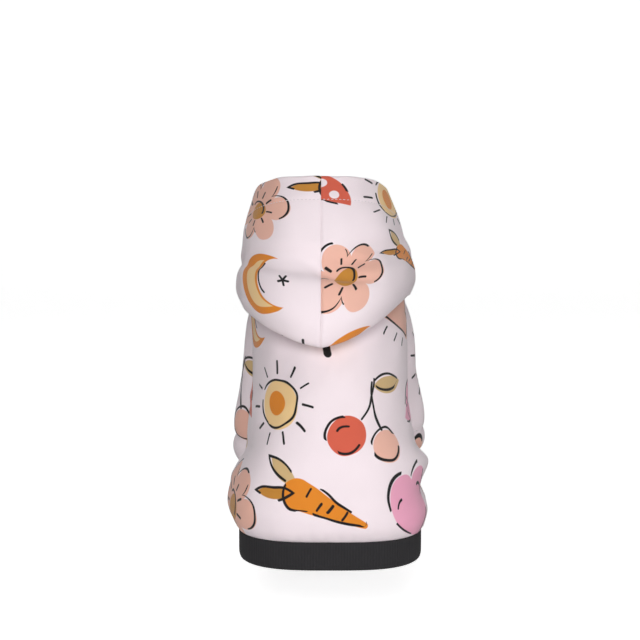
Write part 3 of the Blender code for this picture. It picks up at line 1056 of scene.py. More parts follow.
@dataclass(frozen=True)
class ClothPrint:
    """The repeating print of the cloth. Sizes are the drawings' own millimetres, before they are enlarged."""

    enlarged: float = 1.62
    repeat_across: float = 236.0
    repeat_up: float = 168.0
    pen: float = 0.68  # half thickness of a pen line
    wobble: float = 1.6
    pen_wobble: float = 2.2
    pen_shift: tuple[float, float] = (1.1, -0.9)
    pen_gap: float = 0.42  # noise below this breaks the outlines

    def motifs(self) -> tuple[Motif, ...]:
        """The drawings of one repeat, each with its place and direction."""
        return (
            Motif(26, 17, 10, draw_flower),
            Motif(87, 23, -24, draw_carrot),
            Motif(147, 16, 12, draw_heart),
            Motif(206, 27, -32, draw_sprig),
            Motif(5, 72, -14, draw_mushroom),
            Motif(61, 76, 20, draw_sun),
            Motif(116, 68, -8, draw_cherries),
            Motif(175, 78, 26, draw_fish),
            Motif(31, 129, -18, draw_moon),
            Motif(88, 128, 18, draw_clover),
            Motif(145, 125, -20, draw_cloud),
            Motif(201, 131, 22, draw_acorn),
        )

    def group(self) -> bpy.types.NodeTree:
        """Builds the print's node group, from a place on the cloth to its colour and its pen lines' mask."""
        outputs = {"Colour": "Color", "Ink": "Float"}
        tree, start, end = new_group("Cloth print", {"Place": "Vector"}, outputs)
        at = start["Place"].vector("MULTIPLY", (1000.0 / self.enlarged, 1000.0 / self.enlarged, 0.0))
        drift = at.noise(1 / 26.0).vector("SUBTRACT", (0.5, 0.5, 0.5))
        pen_drift = at.vector("ADD", (400.0, 0.0, 0.0)).noise(1 / 21.0).vector("SUBTRACT", (0.5, 0.5, 0.5))
        fill_at = drift.vector("MULTIPLY_ADD", (self.wobble * 2, self.wobble * 2, 0.0), at)
        shifted = at.vector("ADD", (*self.pen_shift, 0.0))
        pen_at = pen_drift.vector("MULTIPLY_ADD", (self.pen_wobble * 2, self.pen_wobble * 2, 0.0), shifted)
        colour: Socket | tuple = Ink.CLOTH.colour
        outline = at.vector("LENGTH", out="Value").math("MAXIMUM", 50.0)
        pen = outline
        for motif in self.motifs():
            high = (motif.x + self.repeat_across / 2, motif.y + self.repeat_up / 2, 1.0)
            low = (motif.x - self.repeat_across / 2, motif.y - self.repeat_up / 2, -1.0)
            motif.fill_at = fill_at.vector("WRAP", high, low).placed(motif.x, motif.y, motif.turn)
            motif.pen_at = pen_at.vector("WRAP", high, low).placed(motif.x, motif.y, motif.turn)
            motif.colour, motif.outline, motif.pen = colour, outline, pen
            motif.draw(motif)
            colour, outline, pen = motif.colour, motif.outline, motif.pen
        press = at.vector("ADD", (0.0, 300.0, 0.0)).noise(1 / 15.0, out="Fac")
        broken = (press - self.pen_gap).math("MULTIPLY", 40.0, clamp=True)
        thick = press.math("MULTIPLY_ADD", 0.3, self.pen - 0.15)
        unbroken = thick * broken + broken.math("MULTIPLY_ADD", 0.6, -0.6)
        drawn = (unbroken - outline).most(thick - pen)
        ink = drawn.math("MULTIPLY_ADD", 3.5, 0.5, clamp=True)
        feed(tree, end["Colour"], ink.over(colour, Ink.BLACK.colour))
        feed(tree, end["Ink"], ink)
        return tree


def new_group(
    name: str, inputs: dict[str, str], outputs: dict[str, str]
) -> tuple[bpy.types.NodeTree, dict[str, Socket], dict[str, bpy.types.NodeSocket]]:
    """An empty shader node group with named sockets.

    Args:
        name: the group's name.
        inputs: socket types by name, each Float, Vector or Color.
        outputs: the same for the outputs.

    Returns:
        The tree, its inputs as the nodes inside read them, and the sockets that its outputs are fed through.
    """
    tree = bpy.data.node_groups.new(name, "ShaderNodeTree")
    for socket, kind in inputs.items():
        tree.interface.new_socket(name=socket, in_out="INPUT", socket_type="NodeSocket" + kind)
    for socket, kind in outputs.items():
        tree.interface.new_socket(name=socket, in_out="OUTPUT", socket_type="NodeSocket" + kind)
    start, end = tree.nodes.new("NodeGroupInput"), tree.nodes.new("NodeGroupOutput")
    read = {socket: Socket(tree, start.outputs[socket]) for socket in inputs}
    return tree, read, {socket: end.inputs[socket] for socket in outputs}


def placed_group(
    tree: bpy.types.NodeTree, group: bpy.types.NodeTree, values: dict[str, Socket | float]
) -> dict[str, Socket]:
    """Puts a node group into a tree.

    Args:
        tree: the tree that gets it.
        group: the group.
        values: what its inputs get, by name.

    Returns:
        Its outputs by name.
    """
    node = tree.nodes.new("ShaderNodeGroup")
    node.node_tree = group
    for name, value in values.items():
        feed(tree, node.inputs[name], value)
    return {output.name: Socket(tree, output) for output in node.outputs if output.name}


def knit_group() -> bpy.types.NodeTree:
    """Builds the group of fine knit stitches: columns of small V shapes, with painted shade in their hollows.
    """
    sizes = {"Place": "Vector", "Stitch Width": "Float", "Stitch Height": "Float"}
    tree, start, end = new_group("Knit stitches", sizes, {"Height": "Float", "Tone": "Float"})
    across, up = start["Place"].parts()
    column = across.math("DIVIDE", start["Stitch Width"])
    away = (column.math("FRACT") - 0.5).magnitude()
    row = up.math("DIVIDE", start["Stitch Height"])
    leg = (row + away * 1.1) * (tau / 2)
    stitch = leg.math("SINE").magnitude().math("POWER", 0.7)
    wale = (away.math("MULTIPLY_ADD", -2.0, 1.0) * away * 8.0).math("POWER", 0.5)
    height = stitch * wale
    feed(tree, end["Height"], height)
    # Tone is painted shade: darker in the stitches' hollows and lighter on their tops.
    feed(tree, end["Tone"], height.math("MULTIPLY_ADD", 0.10, 0.92))
    return tree


def rib_group() -> bpy.types.NodeTree:
    """Builds the group of ribbed knit: rounded ribs with small stitches on them, and painted shade in the
    hollows between them.
    """
    sizes = {"Place": "Vector", "Rib Width": "Float", "Stitch Height": "Float"}
    tree, start, end = new_group("Ribbed knit", sizes, {"Height": "Float", "Tone": "Float"})
    across, up = start["Place"].parts()
    away = (across.math("DIVIDE", start["Rib Width"]).math("FRACT") - 0.5).magnitude()
    rib = (away * (tau / 2)).math("COSINE").math("POWER", 0.8)
    stitch = ((up.math("DIVIDE", start["Stitch Height"]) + away * 1.2) * (tau / 2)).math("SINE").magnitude()
    feed(tree, end["Height"], rib * 0.8 + stitch * 0.2)
    # Tone is painted shade: darker in the hollows between the ribs and between the stitches.
    feed(tree, end["Tone"], (rib * 0.16 + stitch * 0.06) + 0.78)
    return tree


def tone_group() -> bpy.types.NodeTree:
    """Builds the group of soft unevenness, broad as the cloth's own and fine as its fuzz."""
    inputs, outputs = {"Place": "Vector", "Amount": "Float"}, {"Tone": "Float", "Fuzz": "Float"}
    tree, start, end = new_group("Soft tone", inputs, outputs)
    broad = start["Place"].noise(22.0, 2.0, "Fac") - 0.5
    fuzz = start["Place"].noise(1500.0, 1.0, "Fac")
    feed(tree, end["Tone"], broad.math("MULTIPLY_ADD", start["Amount"], 1.0))
    feed(tree, end["Fuzz"], fuzz)
    return tree


@dataclass
class NodeGroups:
    """The node groups that the materials share, each built once."""

    knit: bpy.types.NodeTree = field(default_factory=knit_group)
    rib: bpy.types.NodeTree = field(default_factory=rib_group)
    tone: bpy.types.NodeTree = field(default_factory=tone_group)
    cloth_print: bpy.types.NodeTree = field(default_factory=lambda: ClothPrint().group())


def new_material(name: str) -> tuple[bpy.types.Material, bpy.types.NodeTree, bpy.types.Node, Socket]:
    """A material with a Principled shader and the place on the cloth, in metres."""
    material = bpy.data.materials.new(name)
    material.use_nodes = True
    tree = material.node_tree
    shader = tree.nodes["Principled BSDF"]
    at = tree.nodes.new("ShaderNodeUVMap")
    at.uv_map = PRINT_MAP
    return material, tree, shader, Socket(tree, at.outputs[0])


def add_relief(
    tree: bpy.types.NodeTree, shader: bpy.types.Node, height: Socket, distance: float, strength: float
) -> None:
    """Feeds a height to the shader's Normal through a Bump node."""
    node = tree.nodes.new("ShaderNodeBump")
    node.inputs["Strength"].default_value = strength
    node.inputs["Distance"].default_value = distance
    feed(tree, node.inputs["Height"], height)
    tree.links.new(node.outputs[0], shader.inputs["Normal"])


def scaled(tree: bpy.types.NodeTree, colour: Socket | tuple, *tones: Socket) -> Socket:
    """A colour times one or more tones."""
    for tone in tones:
        node = tree.nodes.new("ShaderNodeVectorMath")
        node.operation = "SCALE"
        feed(tree, node.inputs[0], colour)
        feed(tree, node.inputs["Scale"], tone)
        colour = Socket(tree, node.outputs[0])
    return colour


@dataclass(frozen=True)
class KnitFinish:
    """Smooth knitted cloth, printed on one side."""

    name: str
    colour: tuple[float, float, float]
    printed: bool
    stitch_width: float = 0.0011
    stitch_height: float = 0.0009
    relief: float = 0.00012
    unevenness: float = 0.05
    roughness: float = 0.86
    sheen: float = 0.22

    def material(self, groups: NodeGroups) -> bpy.types.Material:
        """Builds the material.

        Args:
            groups: the shared node groups.

        Returns:
            The material.
        """
        made, tree, shader, at = new_material(self.name)
        sizes = {"Stitch Width": self.stitch_width, "Stitch Height": self.stitch_height}
        knit = placed_group(tree, groups.knit, {"Place": at, **sizes})
        tone = placed_group(tree, groups.tone, {"Place": at, "Amount": self.unevenness})
        colour = self.colour
        if self.printed:
            colour = placed_group(tree, groups.cloth_print, {"Place": at})["Colour"]
        # The knit's Tone is painted shade in the stitch hollows; the soft tone is random unevenness of the
        # cloth.
        feed(tree, shader.inputs["Base Color"], scaled(tree, colour, knit["Tone"], tone["Tone"]))
        feed(tree, shader.inputs["Roughness"], tone["Fuzz"].math("MULTIPLY_ADD", 0.12, self.roughness - 0.06))
        shader.inputs["Sheen Weight"].default_value = self.sheen
        shader.inputs["Sheen Roughness"].default_value = 0.45
        shader.inputs["Specular IOR Level"].default_value = 0.22
        add_relief(tree, shader, knit["Height"] + tone["Fuzz"] * 0.4, self.relief, 0.6)
        return made


@dataclass(frozen=True)
class RibFinish:
    """Dark ribbed knit of the waist band and the cuffs."""

    name: str = "dark rib"
    colour: tuple[float, float, float] = linear("2f2e30")
    rib_width: float = 0.0026
    stitch_height: float = 0.0011
    relief: float = 0.0002
    roughness: float = 0.9
    sheen: float = 0.04

    def material(self, groups: NodeGroups) -> bpy.types.Material:
        """Builds the material.

        Args:
            groups: the shared node groups.

        Returns:
            The material.
        """
        made, tree, shader, at = new_material(self.name)
        rib = placed_group(
            tree, groups.rib, {"Place": at, "Rib Width": self.rib_width, "Stitch Height": self.stitch_height}
        )
        tone = placed_group(tree, groups.tone, {"Place": at, "Amount": 0.12})
        # The rib's Tone is painted shade between the ribs and stitches; the soft tone is random unevenness.
        feed(tree, shader.inputs["Base Color"], scaled(tree, self.colour, rib["Tone"], tone["Tone"]))
        feed(tree, shader.inputs["Roughness"], tone["Fuzz"].math("MULTIPLY_ADD", 0.1, self.roughness - 0.05))
        shader.inputs["Sheen Weight"].default_value = self.sheen
        shader.inputs["Sheen Roughness"].default_value = 0.5
        shader.inputs["Specular IOR Level"].default_value = 0.2
        add_relief(tree, shader, rib["Height"] + tone["Fuzz"] * 0.2, self.relief, 0.7)
        return made


@dataclass(frozen=True)
class ThreadFinish:
    """Twisted sewing thread."""

    name: str = "thread"
    colour: tuple[float, float, float] = linear("e4d9de")
    twist: float = 0.0007

    def material(self, groups: NodeGroups) -> bpy.types.Material:
        """Builds the material.

        Args:
            groups: the shared node groups.

        Returns:
            The material.
        """
        made, tree, shader, at = new_material(self.name)
        across, up = at.parts()
        strand = ((across + up) * (tau / 2 / self.twist)).math("SINE").magnitude()
        tone = placed_group(tree, groups.tone, {"Place": at, "Amount": 0.1})
        shade = strand.math("MULTIPLY_ADD", 0.16, 0.84)
        feed(tree, shader.inputs["Base Color"], scaled(tree, self.colour, shade, tone["Tone"]))
        feed(tree, shader.inputs["Roughness"], tone["Fuzz"].math("MULTIPLY_ADD", 0.1, 0.6))
        shader.inputs["Sheen Weight"].default_value = 0.15
        add_relief(tree, shader, strand, 0.00008, 0.7)
        return made


@dataclass
class Wardrobe:
    """The materials of all pieces."""

    groups: NodeGroups = field(default_factory=NodeGroups)
    printed: bpy.types.Material = field(init=False)
    plain: bpy.types.Material = field(init=False)
    rib: bpy.types.Material = field(init=False)
    thread: bpy.types.Material = field(init=False)

    def __post_init__(self) -> None:
        """Builds the materials."""
        self.printed = KnitFinish("printed cloth", Ink.CLOTH.colour, True).material(self.groups)
        wrong_side = KnitFinish("wrong side of the cloth", linear("f3e8ec"), False, relief=0.00018)
        self.plain = wrong_side.material(self.groups)
        self.rib = RibFinish().material(self.groups)
        self.thread = ThreadFinish().material(self.groups)


def settle(piece: bpy.types.Object, slot: str, *nodes: str) -> bpy.types.Object:
    """Lets a piece ride on the part and hides the CAD nodes that it stands for.

    Args:
        piece: the piece.
        slot: the name of a material slot; not used.
        nodes: the CAD nodes that it replaces.

    Returns:
        The piece.
    """
    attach(piece, "root")
    if nodes:
        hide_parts(*nodes)
    LOG.info("%s: %d faces", piece.name, len(piece.data.polygons))
    return piece


@dataclass
class BodyCloth:
    """The back panel and the belly panel of the body."""

    form: BodyForm
    sleeves: tuple[SleeveForm, ...]
    belly_angle: float = 128.0
    rows: int = 132
    step: float = 1.4  # degrees between columns
    seam_dip: float = 0.0009
    gather: float = 0.0007
    gather_reach: float = 0.012
    unevenness: float = 0.0005
    waist_dip: float = 0.0006
    armhole_puff: float = 0.0007
    armhole_dip: float = 0.0012
    print_shift: dict[str, tuple[float, float]] = field(
        default_factory=lambda: {"body_back": (0.150, 0.0), "body_belly": (0.06, 0.11)}
    )

    def surface(self, angles: np.ndarray) -> tuple[np.ndarray, np.ndarray]:
        """The cloth's outer face.

        Args:
            angles: degrees round the body, one for each column.

        Returns:
            The points by row and column, and their outward directions.
        """
        form = self.form
        height, angle = np.meshgrid(np.linspace(0.0, 1.0, self.rows + 1), angles, indexing="ij")
        base = form.point(height, angle)
        rise = form.fold_rise(height, angle, FOLDS) + form.fold_rise(height, angle, FINE_FOLDS)
        up = height * form.torso_height
        gathers = self.gather * np.exp(-up / self.gather_reach) * ripple(angle / 5.5, height * 6, 11)
        rise += gathers * np.minimum(1, up / 0.003)
        rise += self.unevenness * ripple(angle / 17.0, height * 9.0, 5) * np.minimum(1.0, height / 0.05)
        seam = 180.0 - self.belly_angle / 2
        from_seam = np.radians(np.abs(np.abs((angle + 180.0) % 360.0 - 180.0) - seam)) * 0.08
        rise += self.seam_dip * (0.3 * bump(from_seam - 0.0045, 0.0025) - bump(from_seam, 0.0014))
        rise -= self.waist_dip * bump(up, 0.0022)
        points = base + form.outward(height, angle) * rise[..., None]
        flat = points.reshape(-1, 3)
        near = np.min([sleeve.distance(flat) for sleeve in self.sleeves], axis=0).reshape(height.shape)
        pull = self.armhole_puff * bump(near - 0.006, 0.0035) - self.armhole_dip * bump(near, 0.0026)
        points += grid_normals(points, False) * pull[..., None]
        return points, grid_normals(points, False)

    def whole(self) -> Sheet:
        """The whole body as one closed sheet without armholes, for trimming what meets it."""
        points, outward = self.surface(np.arange(0.0, 360.0, 2.0))
        flat = np.zeros(points.shape[:2])
        return Sheet.from_grid(points, outward, (flat, flat), self.form.cloth_wall, turn_length=1.0)

    def build(self, wardrobe: Wardrobe) -> list[bpy.types.Object]:
        """Builds and dresses both panels.

        Args:
            wardrobe: the materials.

        Returns:
            The pieces.
        """
        seam = 180.0 - self.belly_angle / 2
        half_gap = np.degrees(self.form.seam_gap / self.form.chest_width)
        pieces = []
        for name, start, end in (("body_back", -seam, seam), ("body_belly", seam, 360.0 - seam)):
            count = round((end - start) / self.step)
            angles, turn = np.linspace(start + half_gap, end - half_gap, count + 1, retstep=True)
            points, outward = self.surface(np.array([angles[0] - turn, *angles, angles[-1] + turn]))
            points, outward = points[:, 1:-1], outward[:, 1:-1]
            round_it = arc_lengths(points, 1)
            middle = round_it[:, [count // 2]]
            shift = self.print_shift[name]
            prints = (round_it - middle + shift[0], arc_lengths(points, 0)[:, [count // 2]] + shift[1])
            sheet = Sheet.from_grid(points, outward, prints, self.form.cloth_wall)
            gaps = [sleeve.distance(sheet.values[:, :3]) for sleeve in self.sleeves]
            sheet = sheet.cut(np.min(gaps, axis=0) - self.form.seam_gap)
            piece = sheet.wall(name, wardrobe.printed, wardrobe.plain)
            pieces.append(settle(piece, "printed_cloth", name))
        return pieces


@dataclass
class Hood:
    """One half of the hood, which lies down on the back as a soft pocket."""

    form: BodyForm
    side: Side
    puff: float = 0.030
    lap: float = 0.0016
    hem: float = 0.027
    hem_extra_wall: float = 0.0009
    longest_hem: float = 0.6
    rim_stand: float = 0.08
    inner_layer: tuple[float, ...] = (0.0, 0.35, 0.70, 0.94)
    fold_drop: float = 0.40
    fold_middle: float = 0.5
    unevenness: float = 0.0005
    seam_dip: float = 0.0002
    hem_dip: float = 0.0003
    stitch_lift: float = 0.0001
    columns: int = 112
    steps: int = 12
    print_shift: tuple[float, float] = (0.0, 0.0)

    def control_points(self, angle: np.ndarray) -> np.ndarray:
        """The cloth's middle line at each angle, from the neck seam down, round the fold and up to the rim.

        Args:
            angle: degrees round the body.

        Returns:
            The points by angle and place along the line.
        """
        form = self.form
        folded = 180.0 - np.abs(180.0 - np.abs(angle))
        pocket = Pocket(*smooth_values([p.angle for p in POCKETS], POCKETS, folded).T)
        bottom = pocket.bottom + self.side.hood_lift * np.sin(np.radians(angle)) ** 2
        puff, crease = pocket.puff * self.puff, pocket.crease
        lap = self.lap + form.cloth_wall / 2

        def standing(height: np.ndarray, away: np.ndarray | float) -> Places:
            """Points of the form at a height, some way off it."""
            height = np.broadcast_to(height, angle.shape)
            off = np.broadcast_to(lap + away, angle.shape)
            return form.point(height, angle) + form.outward(height, angle) * off[:, None]

        drop = form.neck_seam - bottom
        points = [standing(form.neck_seam - share * drop, 0.0) for share in self.inner_layer]
        swing = (RINGS[-1].lean - form.rings(bottom).lean) * np.maximum(np.cos(np.radians(angle)), 0.0)
        sideways = np.stack([swing * form.chest_width, swing * 0, swing * 0], axis=1)
        fold = standing(bottom, puff) + sideways
        rim = standing(np.array(RIM), puff * self.rim_stand)
        rise = rim - fold
        along = unit(rise)
        out = form.outward(bottom, angle)
        out = unit(out - along * np.sum(out * along, axis=1, keepdims=True))
        hanging = along * (puff * self.fold_drop)[:, None]
        points.append(standing(bottom, puff * self.fold_middle) + sideways - hanging)
        length = np.linalg.norm(rise, axis=1)
        below_hem = np.maximum(1.0 - self.hem / length, 1.0 - self.longest_hem)[:, None]
        for layer in OUTER_LAYER:
            away = self.puff * (layer.stand - layer.crease * crease)
            points.append(fold + rise * layer.share * below_hem + out * away[:, None])
        return np.stack([*points, rim], axis=1)

    def surface(self) -> tuple[np.ndarray, np.ndarray, Field2D, Field2D, Field2D]:
        """The middle face of the cloth, from the centre back seam to the throat.

        Returns:
            Points by row and column, outward directions, the thickness, and the print's two coordinates.
        """
        half_gap = np.degrees(self.form.seam_gap / (self.form.chest_width / 2))
        angles, turn = np.linspace(half_gap, 180.0 - half_gap, self.columns + 1, retstep=True)
        angles = np.array([angles[0] - turn, *angles, angles[-1] + turn]) * self.side.sign
        control = self.control_points(angles)
        knots = np.arange(control.shape[1])
        first_outer, last = len(self.inner_layer) + 1, control.shape[1] - 1
        at = np.linspace(0.0, last, last * self.steps + 1)
        middle = smooth_values(knots, control.transpose(1, 0, 2).reshape(len(knots), -1), at)
        middle = middle.reshape(len(at), -1, 3)
        share = ((at - first_outer) / (last - first_outer))[:, None]
        normals = grid_normals(middle, False) * self.side.sign
        shift = self.relief(share, angles[None])
        middle = middle + normals * shift[..., None]
        normals = grid_normals(middle, False) * self.side.sign
        if normals[-self.steps, 1, 1] > 0:
            normals = -normals
        turned = np.clip((at - last + 1) * 4 + 0.5, 0.0, 1.0)[:, None]
        thick = (self.form.cloth_wall + self.hem_extra_wall * turned) * np.ones((1, self.columns + 1))
        middle, normals = middle[:, 1:-1], normals[:, 1:-1]
        across = arc_lengths(middle, 1) * self.side.sign
        along = arc_lengths(middle, 0)
        along = along - along[-1:]
        return middle, normals, thick, across, along[:, [0]] + 0.0 * across

    def relief(self, share: np.ndarray, angle: np.ndarray) -> np.ndarray:
        """How far dents, seams and small unevenness move the cloth outwards.

        Args:
            share: place along the outer layer, 0 at the fold and 1 at the rim, below 0 on the inner layer.
            angle: degrees round the body.

        Returns:
            Metres at each place.
        """
        outer = np.clip(share * 6.0, 0.0, 1.0)
        total = np.zeros(np.broadcast(share, angle).shape)
        for dent in HOOD_DENTS:
            away = angle - dent.angle
            off = share - dent.share - dent.slant * away
            total -= dent.depth * bump(off, dent.tall) * bump(away, dent.wide)
        total += self.unevenness * ripple(angle / 14.0, share * 4.0, 23)
        from_seam = np.radians(np.abs(angle)) * 0.07
        total += self.seam_dip * (0.4 * bump(from_seam - 0.004, 0.0022) - bump(from_seam, 0.0009))
        hem_at = 1 - 1 / len(OUTER_LAYER)
        total -= self.hem_dip * bump(share - hem_at, 0.008)
        return total * outer

    def build(self, wardrobe: Wardrobe) -> list[bpy.types.Object]:
        """Builds and dresses the panel and its hem stitching.

        Args:
            wardrobe: the materials.

        Returns:
            The pieces.
        """
        middle, normals, thick, across, along = self.surface()
        hem = np.zeros(middle.shape[:2])
        hem[-self.steps :] = 1.0
        prints = (across + self.print_shift[0], along + self.print_shift[1])
        outer = middle + normals * thick[..., None] / 2
        sheet = Sheet.from_grid(outer, normals, prints, thick, hem)
        piece = sheet.wall("hood_" + self.side.label, wardrobe.printed, wardrobe.plain)
        row = len(middle) - 1 - self.steps
        line = outer[row] + normals[row] * self.stitch_lift
        stitches = stitch_line("hood_hem_stitches_" + self.side.label, line, normals[row], wardrobe.thread)
        return [
            settle(piece, "printed_cloth", "hood_" + self.side.label),
            settle(stitches, "printed_cloth"),
        ]


def stitch_line(
    name: str,
    line: Places,
    normals: Places,
    thread: bpy.types.Material,
    stitch: float = 0.0024,
    gap: float = 0.0012,
    thick: float = 0.00032,
) -> bpy.types.Object:
    """A row of sewn stitches on a surface, each a small rounded bar that dips into the cloth at both ends.

    Args:
        name: the piece's name.
        line: points along the row.
        normals: outward directions of the cloth there.
        thread: the material.
        stitch: length of one stitch.
        gap: length between two stitches.
        thick: half thickness of the thread.

    Returns:
        The piece.
    """
    lengths = np.concatenate([[0.0], np.cumsum(np.linalg.norm(np.diff(line, axis=0), axis=1))])
    starts = np.arange(gap, lengths[-1] - stitch - gap, stitch + gap)
    sides, rings = 6, 5
    shares = np.linspace(0.0, 1.0, rings)
    points, faces, prints = [], [], []
    for start in starts:
        at = start + shares * stitch
        centre = np.stack([np.interp(at, lengths, line[:, k]) for k in range(3)], axis=1)
        out = unit(np.stack([np.interp(at, lengths, normals[:, k]) for k in range(3)], axis=1))
        centre = centre + out * (thick * (np.sin(shares * tau / 2) * 1.5 - 0.9))[:, None]
        along = unit(np.gradient(centre, axis=0))
        beside = unit(np.cross(along, out))
        above = np.cross(beside, along)
        width = thick * (0.45 + 0.55 * np.sin(shares * tau / 2))
        first = len(points)
        for k in range(rings):
            for s in range(sides):
                turn = tau * s / sides
                points.append(centre[k] + (beside[k] * cos(turn) + above[k] * sin(turn)) * width[k])
                prints.append((at[k], turn * thick))
        for k in range(rings - 1):
            for s in range(sides):
                a, b = first + k * sides + s, first + k * sides + (s + 1) % sides
                faces.append([a, b, b + sides, a + sides])
        faces.append([first + s for s in reversed(range(sides))])
        faces.append([first + (rings - 1) * sides + s for s in range(sides)])
    return piece_from(name, np.array(points), faces, [0] * len(faces), np.array(prints), (thread,))


@dataclass
class Sleeve:
    """One front-leg sleeve, from the armhole to the cuff seam."""

    tube: SleeveForm
    body: BVHTree
    rows: int = 110
    columns: int = 120
    gather: float = 0.0009
    gather_reach: float = 0.014
    unevenness: float = 0.0006
    cuff_dip: float = 0.0005
    print_shift: tuple[float, float] = (0.0, 0.0)

    def build(self, wardrobe: Wardrobe) -> list[bpy.types.Object]:
        """Builds and dresses the sleeve.

        Args:
            wardrobe: the materials.

        Returns:
            The pieces.
        """
        tube = self.tube
        share = np.linspace(1.0, 0.0, self.rows + 1)
        centre, radius = tube.station(share)
        plain = tube.circles(centre, tube.upwards(share), radius, self.columns)
        up = arc_lengths(plain, 0)[:, [0]]
        angle = np.linspace(0.0, 360.0, self.columns, endpoint=False)[None]
        turn = np.radians(angle)
        edge = np.minimum(1.0, up / 0.0025)
        wave = ripple(np.sin(turn) * 3.0, np.cos(turn) * 3.0 + up * 30, 31 + int(tube.side.sign))
        rise = self.gather * np.exp(-up / self.gather_reach) * wave * edge
        rise = rise + self.unevenness * ripple(np.sin(turn) * 1.2, np.cos(turn) * 1.2 + up * 45.0, 41)
        rise = rise - self.cuff_dip * bump(up, 0.002)
        rise = rise * np.clip((0.115 - up) / 0.03 + 1.0, 0.0, 1.0)
        points = plain + grid_normals(plain, True) * rise[..., None]
        normals = grid_normals(points, True)
        length = tau * tube.radius
        prints = (angle / 360.0 * length + self.print_shift[0], up + self.print_shift[1] + 0.0 * angle)
        sheet = Sheet.from_grid(points, normals, prints, tube.form.cloth_wall, turn_length=length)
        sheet = sheet.cut(self.outside_body(sheet.values[:, :3]) + tube.form.cloth_wall * 0.9)
        name = "sleeve_" + tube.side.label
        return [settle(sheet.wall(name, wardrobe.printed, wardrobe.plain), "printed_cloth", name)]

    def outside_body(self, places: Places) -> np.ndarray:
        """Signed distances from the body's outer face, above 0 outside."""
        found = np.empty(len(places))
        for k, place in enumerate(places):
            near, normal, _, _ = self.body.find_nearest(Vector(place))
            found[k] = (Vector(place) - near).dot(normal)
        return found


@dataclass
class RibbedBand:
    """A tube of ribbed knit, folded at its free edge."""

    name: str
    points: np.ndarray
    length: float
    wall: float = 0.0024
    ribs: int = 60
    rib_rise: float = 0.00016
    seam_dip: float = 0.0006
    edge_dip: float = 0.0005

    def build(self, wardrobe: Wardrobe) -> list[bpy.types.Object]:
        """Builds and dresses the band.

        Args:
            wardrobe: the materials.

        Returns:
            The pieces.
        """
        count = self.points.shape[1]
        turn = np.linspace(0.0, 1.0, count, endpoint=False)[None]
        up = arc_lengths(self.points, 0)[:, [0]]
        high = up[-1, 0]
        normals = grid_normals(self.points, True)
        if np.einsum("ijk,ijk->", normals, self.points - self.points.mean(axis=(0, 1))) < 0:
            normals = -normals
        rise = -self.seam_dip * bump(up, 0.0014) - self.edge_dip * bump(up - high, 0.0014)
        rise = rise + self.rib_rise * np.cos(turn * self.ribs * tau) * np.minimum(1.0, (high - up) / 0.002)
        points = self.points + normals * rise[..., None]
        prints = (turn * self.length + 0.0 * up, up + 0.0 * turn)
        sheet = Sheet.from_grid(points, normals, prints, self.wall, turn_length=self.length)
        piece = sheet.wall(self.name, wardrobe.rib, wardrobe.rib)
        return [settle(piece, "dark_rib", self.name)]


@dataclass
class Trims:
    """The waist band and the two cuffs."""

    form: BodyForm
    sleeves: tuple[SleeveForm, ...]
    band_height: float = 0.025
    band_tuck: float = 0.0015
    cuff_height: float = 0.025
    rib_width: float = 0.0026
    rows: int = 14

    def waist_band(self) -> RibbedBand:
        """The band under the waist seam."""
        angles = np.linspace(0.0, 360.0, 1200, endpoint=False)
        seam = self.form.point(np.zeros_like(angles), angles)
        seam = seam - self.form.outward(np.zeros_like(angles), angles) * self.band_tuck
        drops = self.form.seam_gap + np.linspace(1.0, 0.0, self.rows + 1) * self.band_height
        points = seam[None] - np.array((0.0, 0.0, 1.0)) * drops[:, None, None]
        length = float(np.linalg.norm(np.roll(seam, -1, axis=0) - seam, axis=1).sum())
        ribs = round(length / self.rib_width)
        return RibbedBand("waist_band", points, ribs * self.rib_width, ribs=ribs)

    def cuff(self, tube: SleeveForm) -> RibbedBand:
        """The cuff under one sleeve."""
        end, radius = tube.station(np.ones(1))
        up = tube.upwards(np.ones(1))
        drops = self.form.seam_gap + np.linspace(1.0, 0.0, self.rows + 1) * self.cuff_height
        centres = end - up * drops[:, None]
        points = tube.circles(centres, np.repeat(up, len(drops), axis=0), np.repeat(radius, len(drops)), 400)
        ribs = round(tau * float(radius[0]) / self.rib_width)
        return RibbedBand("cuff_" + tube.side.label, points, ribs * self.rib_width, ribs=ribs)

    def build(self, wardrobe: Wardrobe) -> list[bpy.types.Object]:
        """Builds and dresses all three.

        Args:
            wardrobe: the materials.

        Returns:
            The pieces.
        """
        pieces = self.waist_band().build(wardrobe)
        for tube in self.sleeves:
            pieces += self.cuff(tube).build(wardrobe)
        return pieces


class Lamp(NamedTuple):
    """A round area light that points at the garment: its place, width and power in watts."""

    name: str
    place: tuple[float, float, float]
    width: float
    power: float


LAMPS = (
    Lamp("key", (-0.25, -2.5, 0.85), 1.2, 39.0),
    Lamp("fill", (1.3, -1.9, 0.1), 1.2, 12.0),
    Lamp("top", (0.0, -0.4, 2.2), 1.4, 9.0),
)


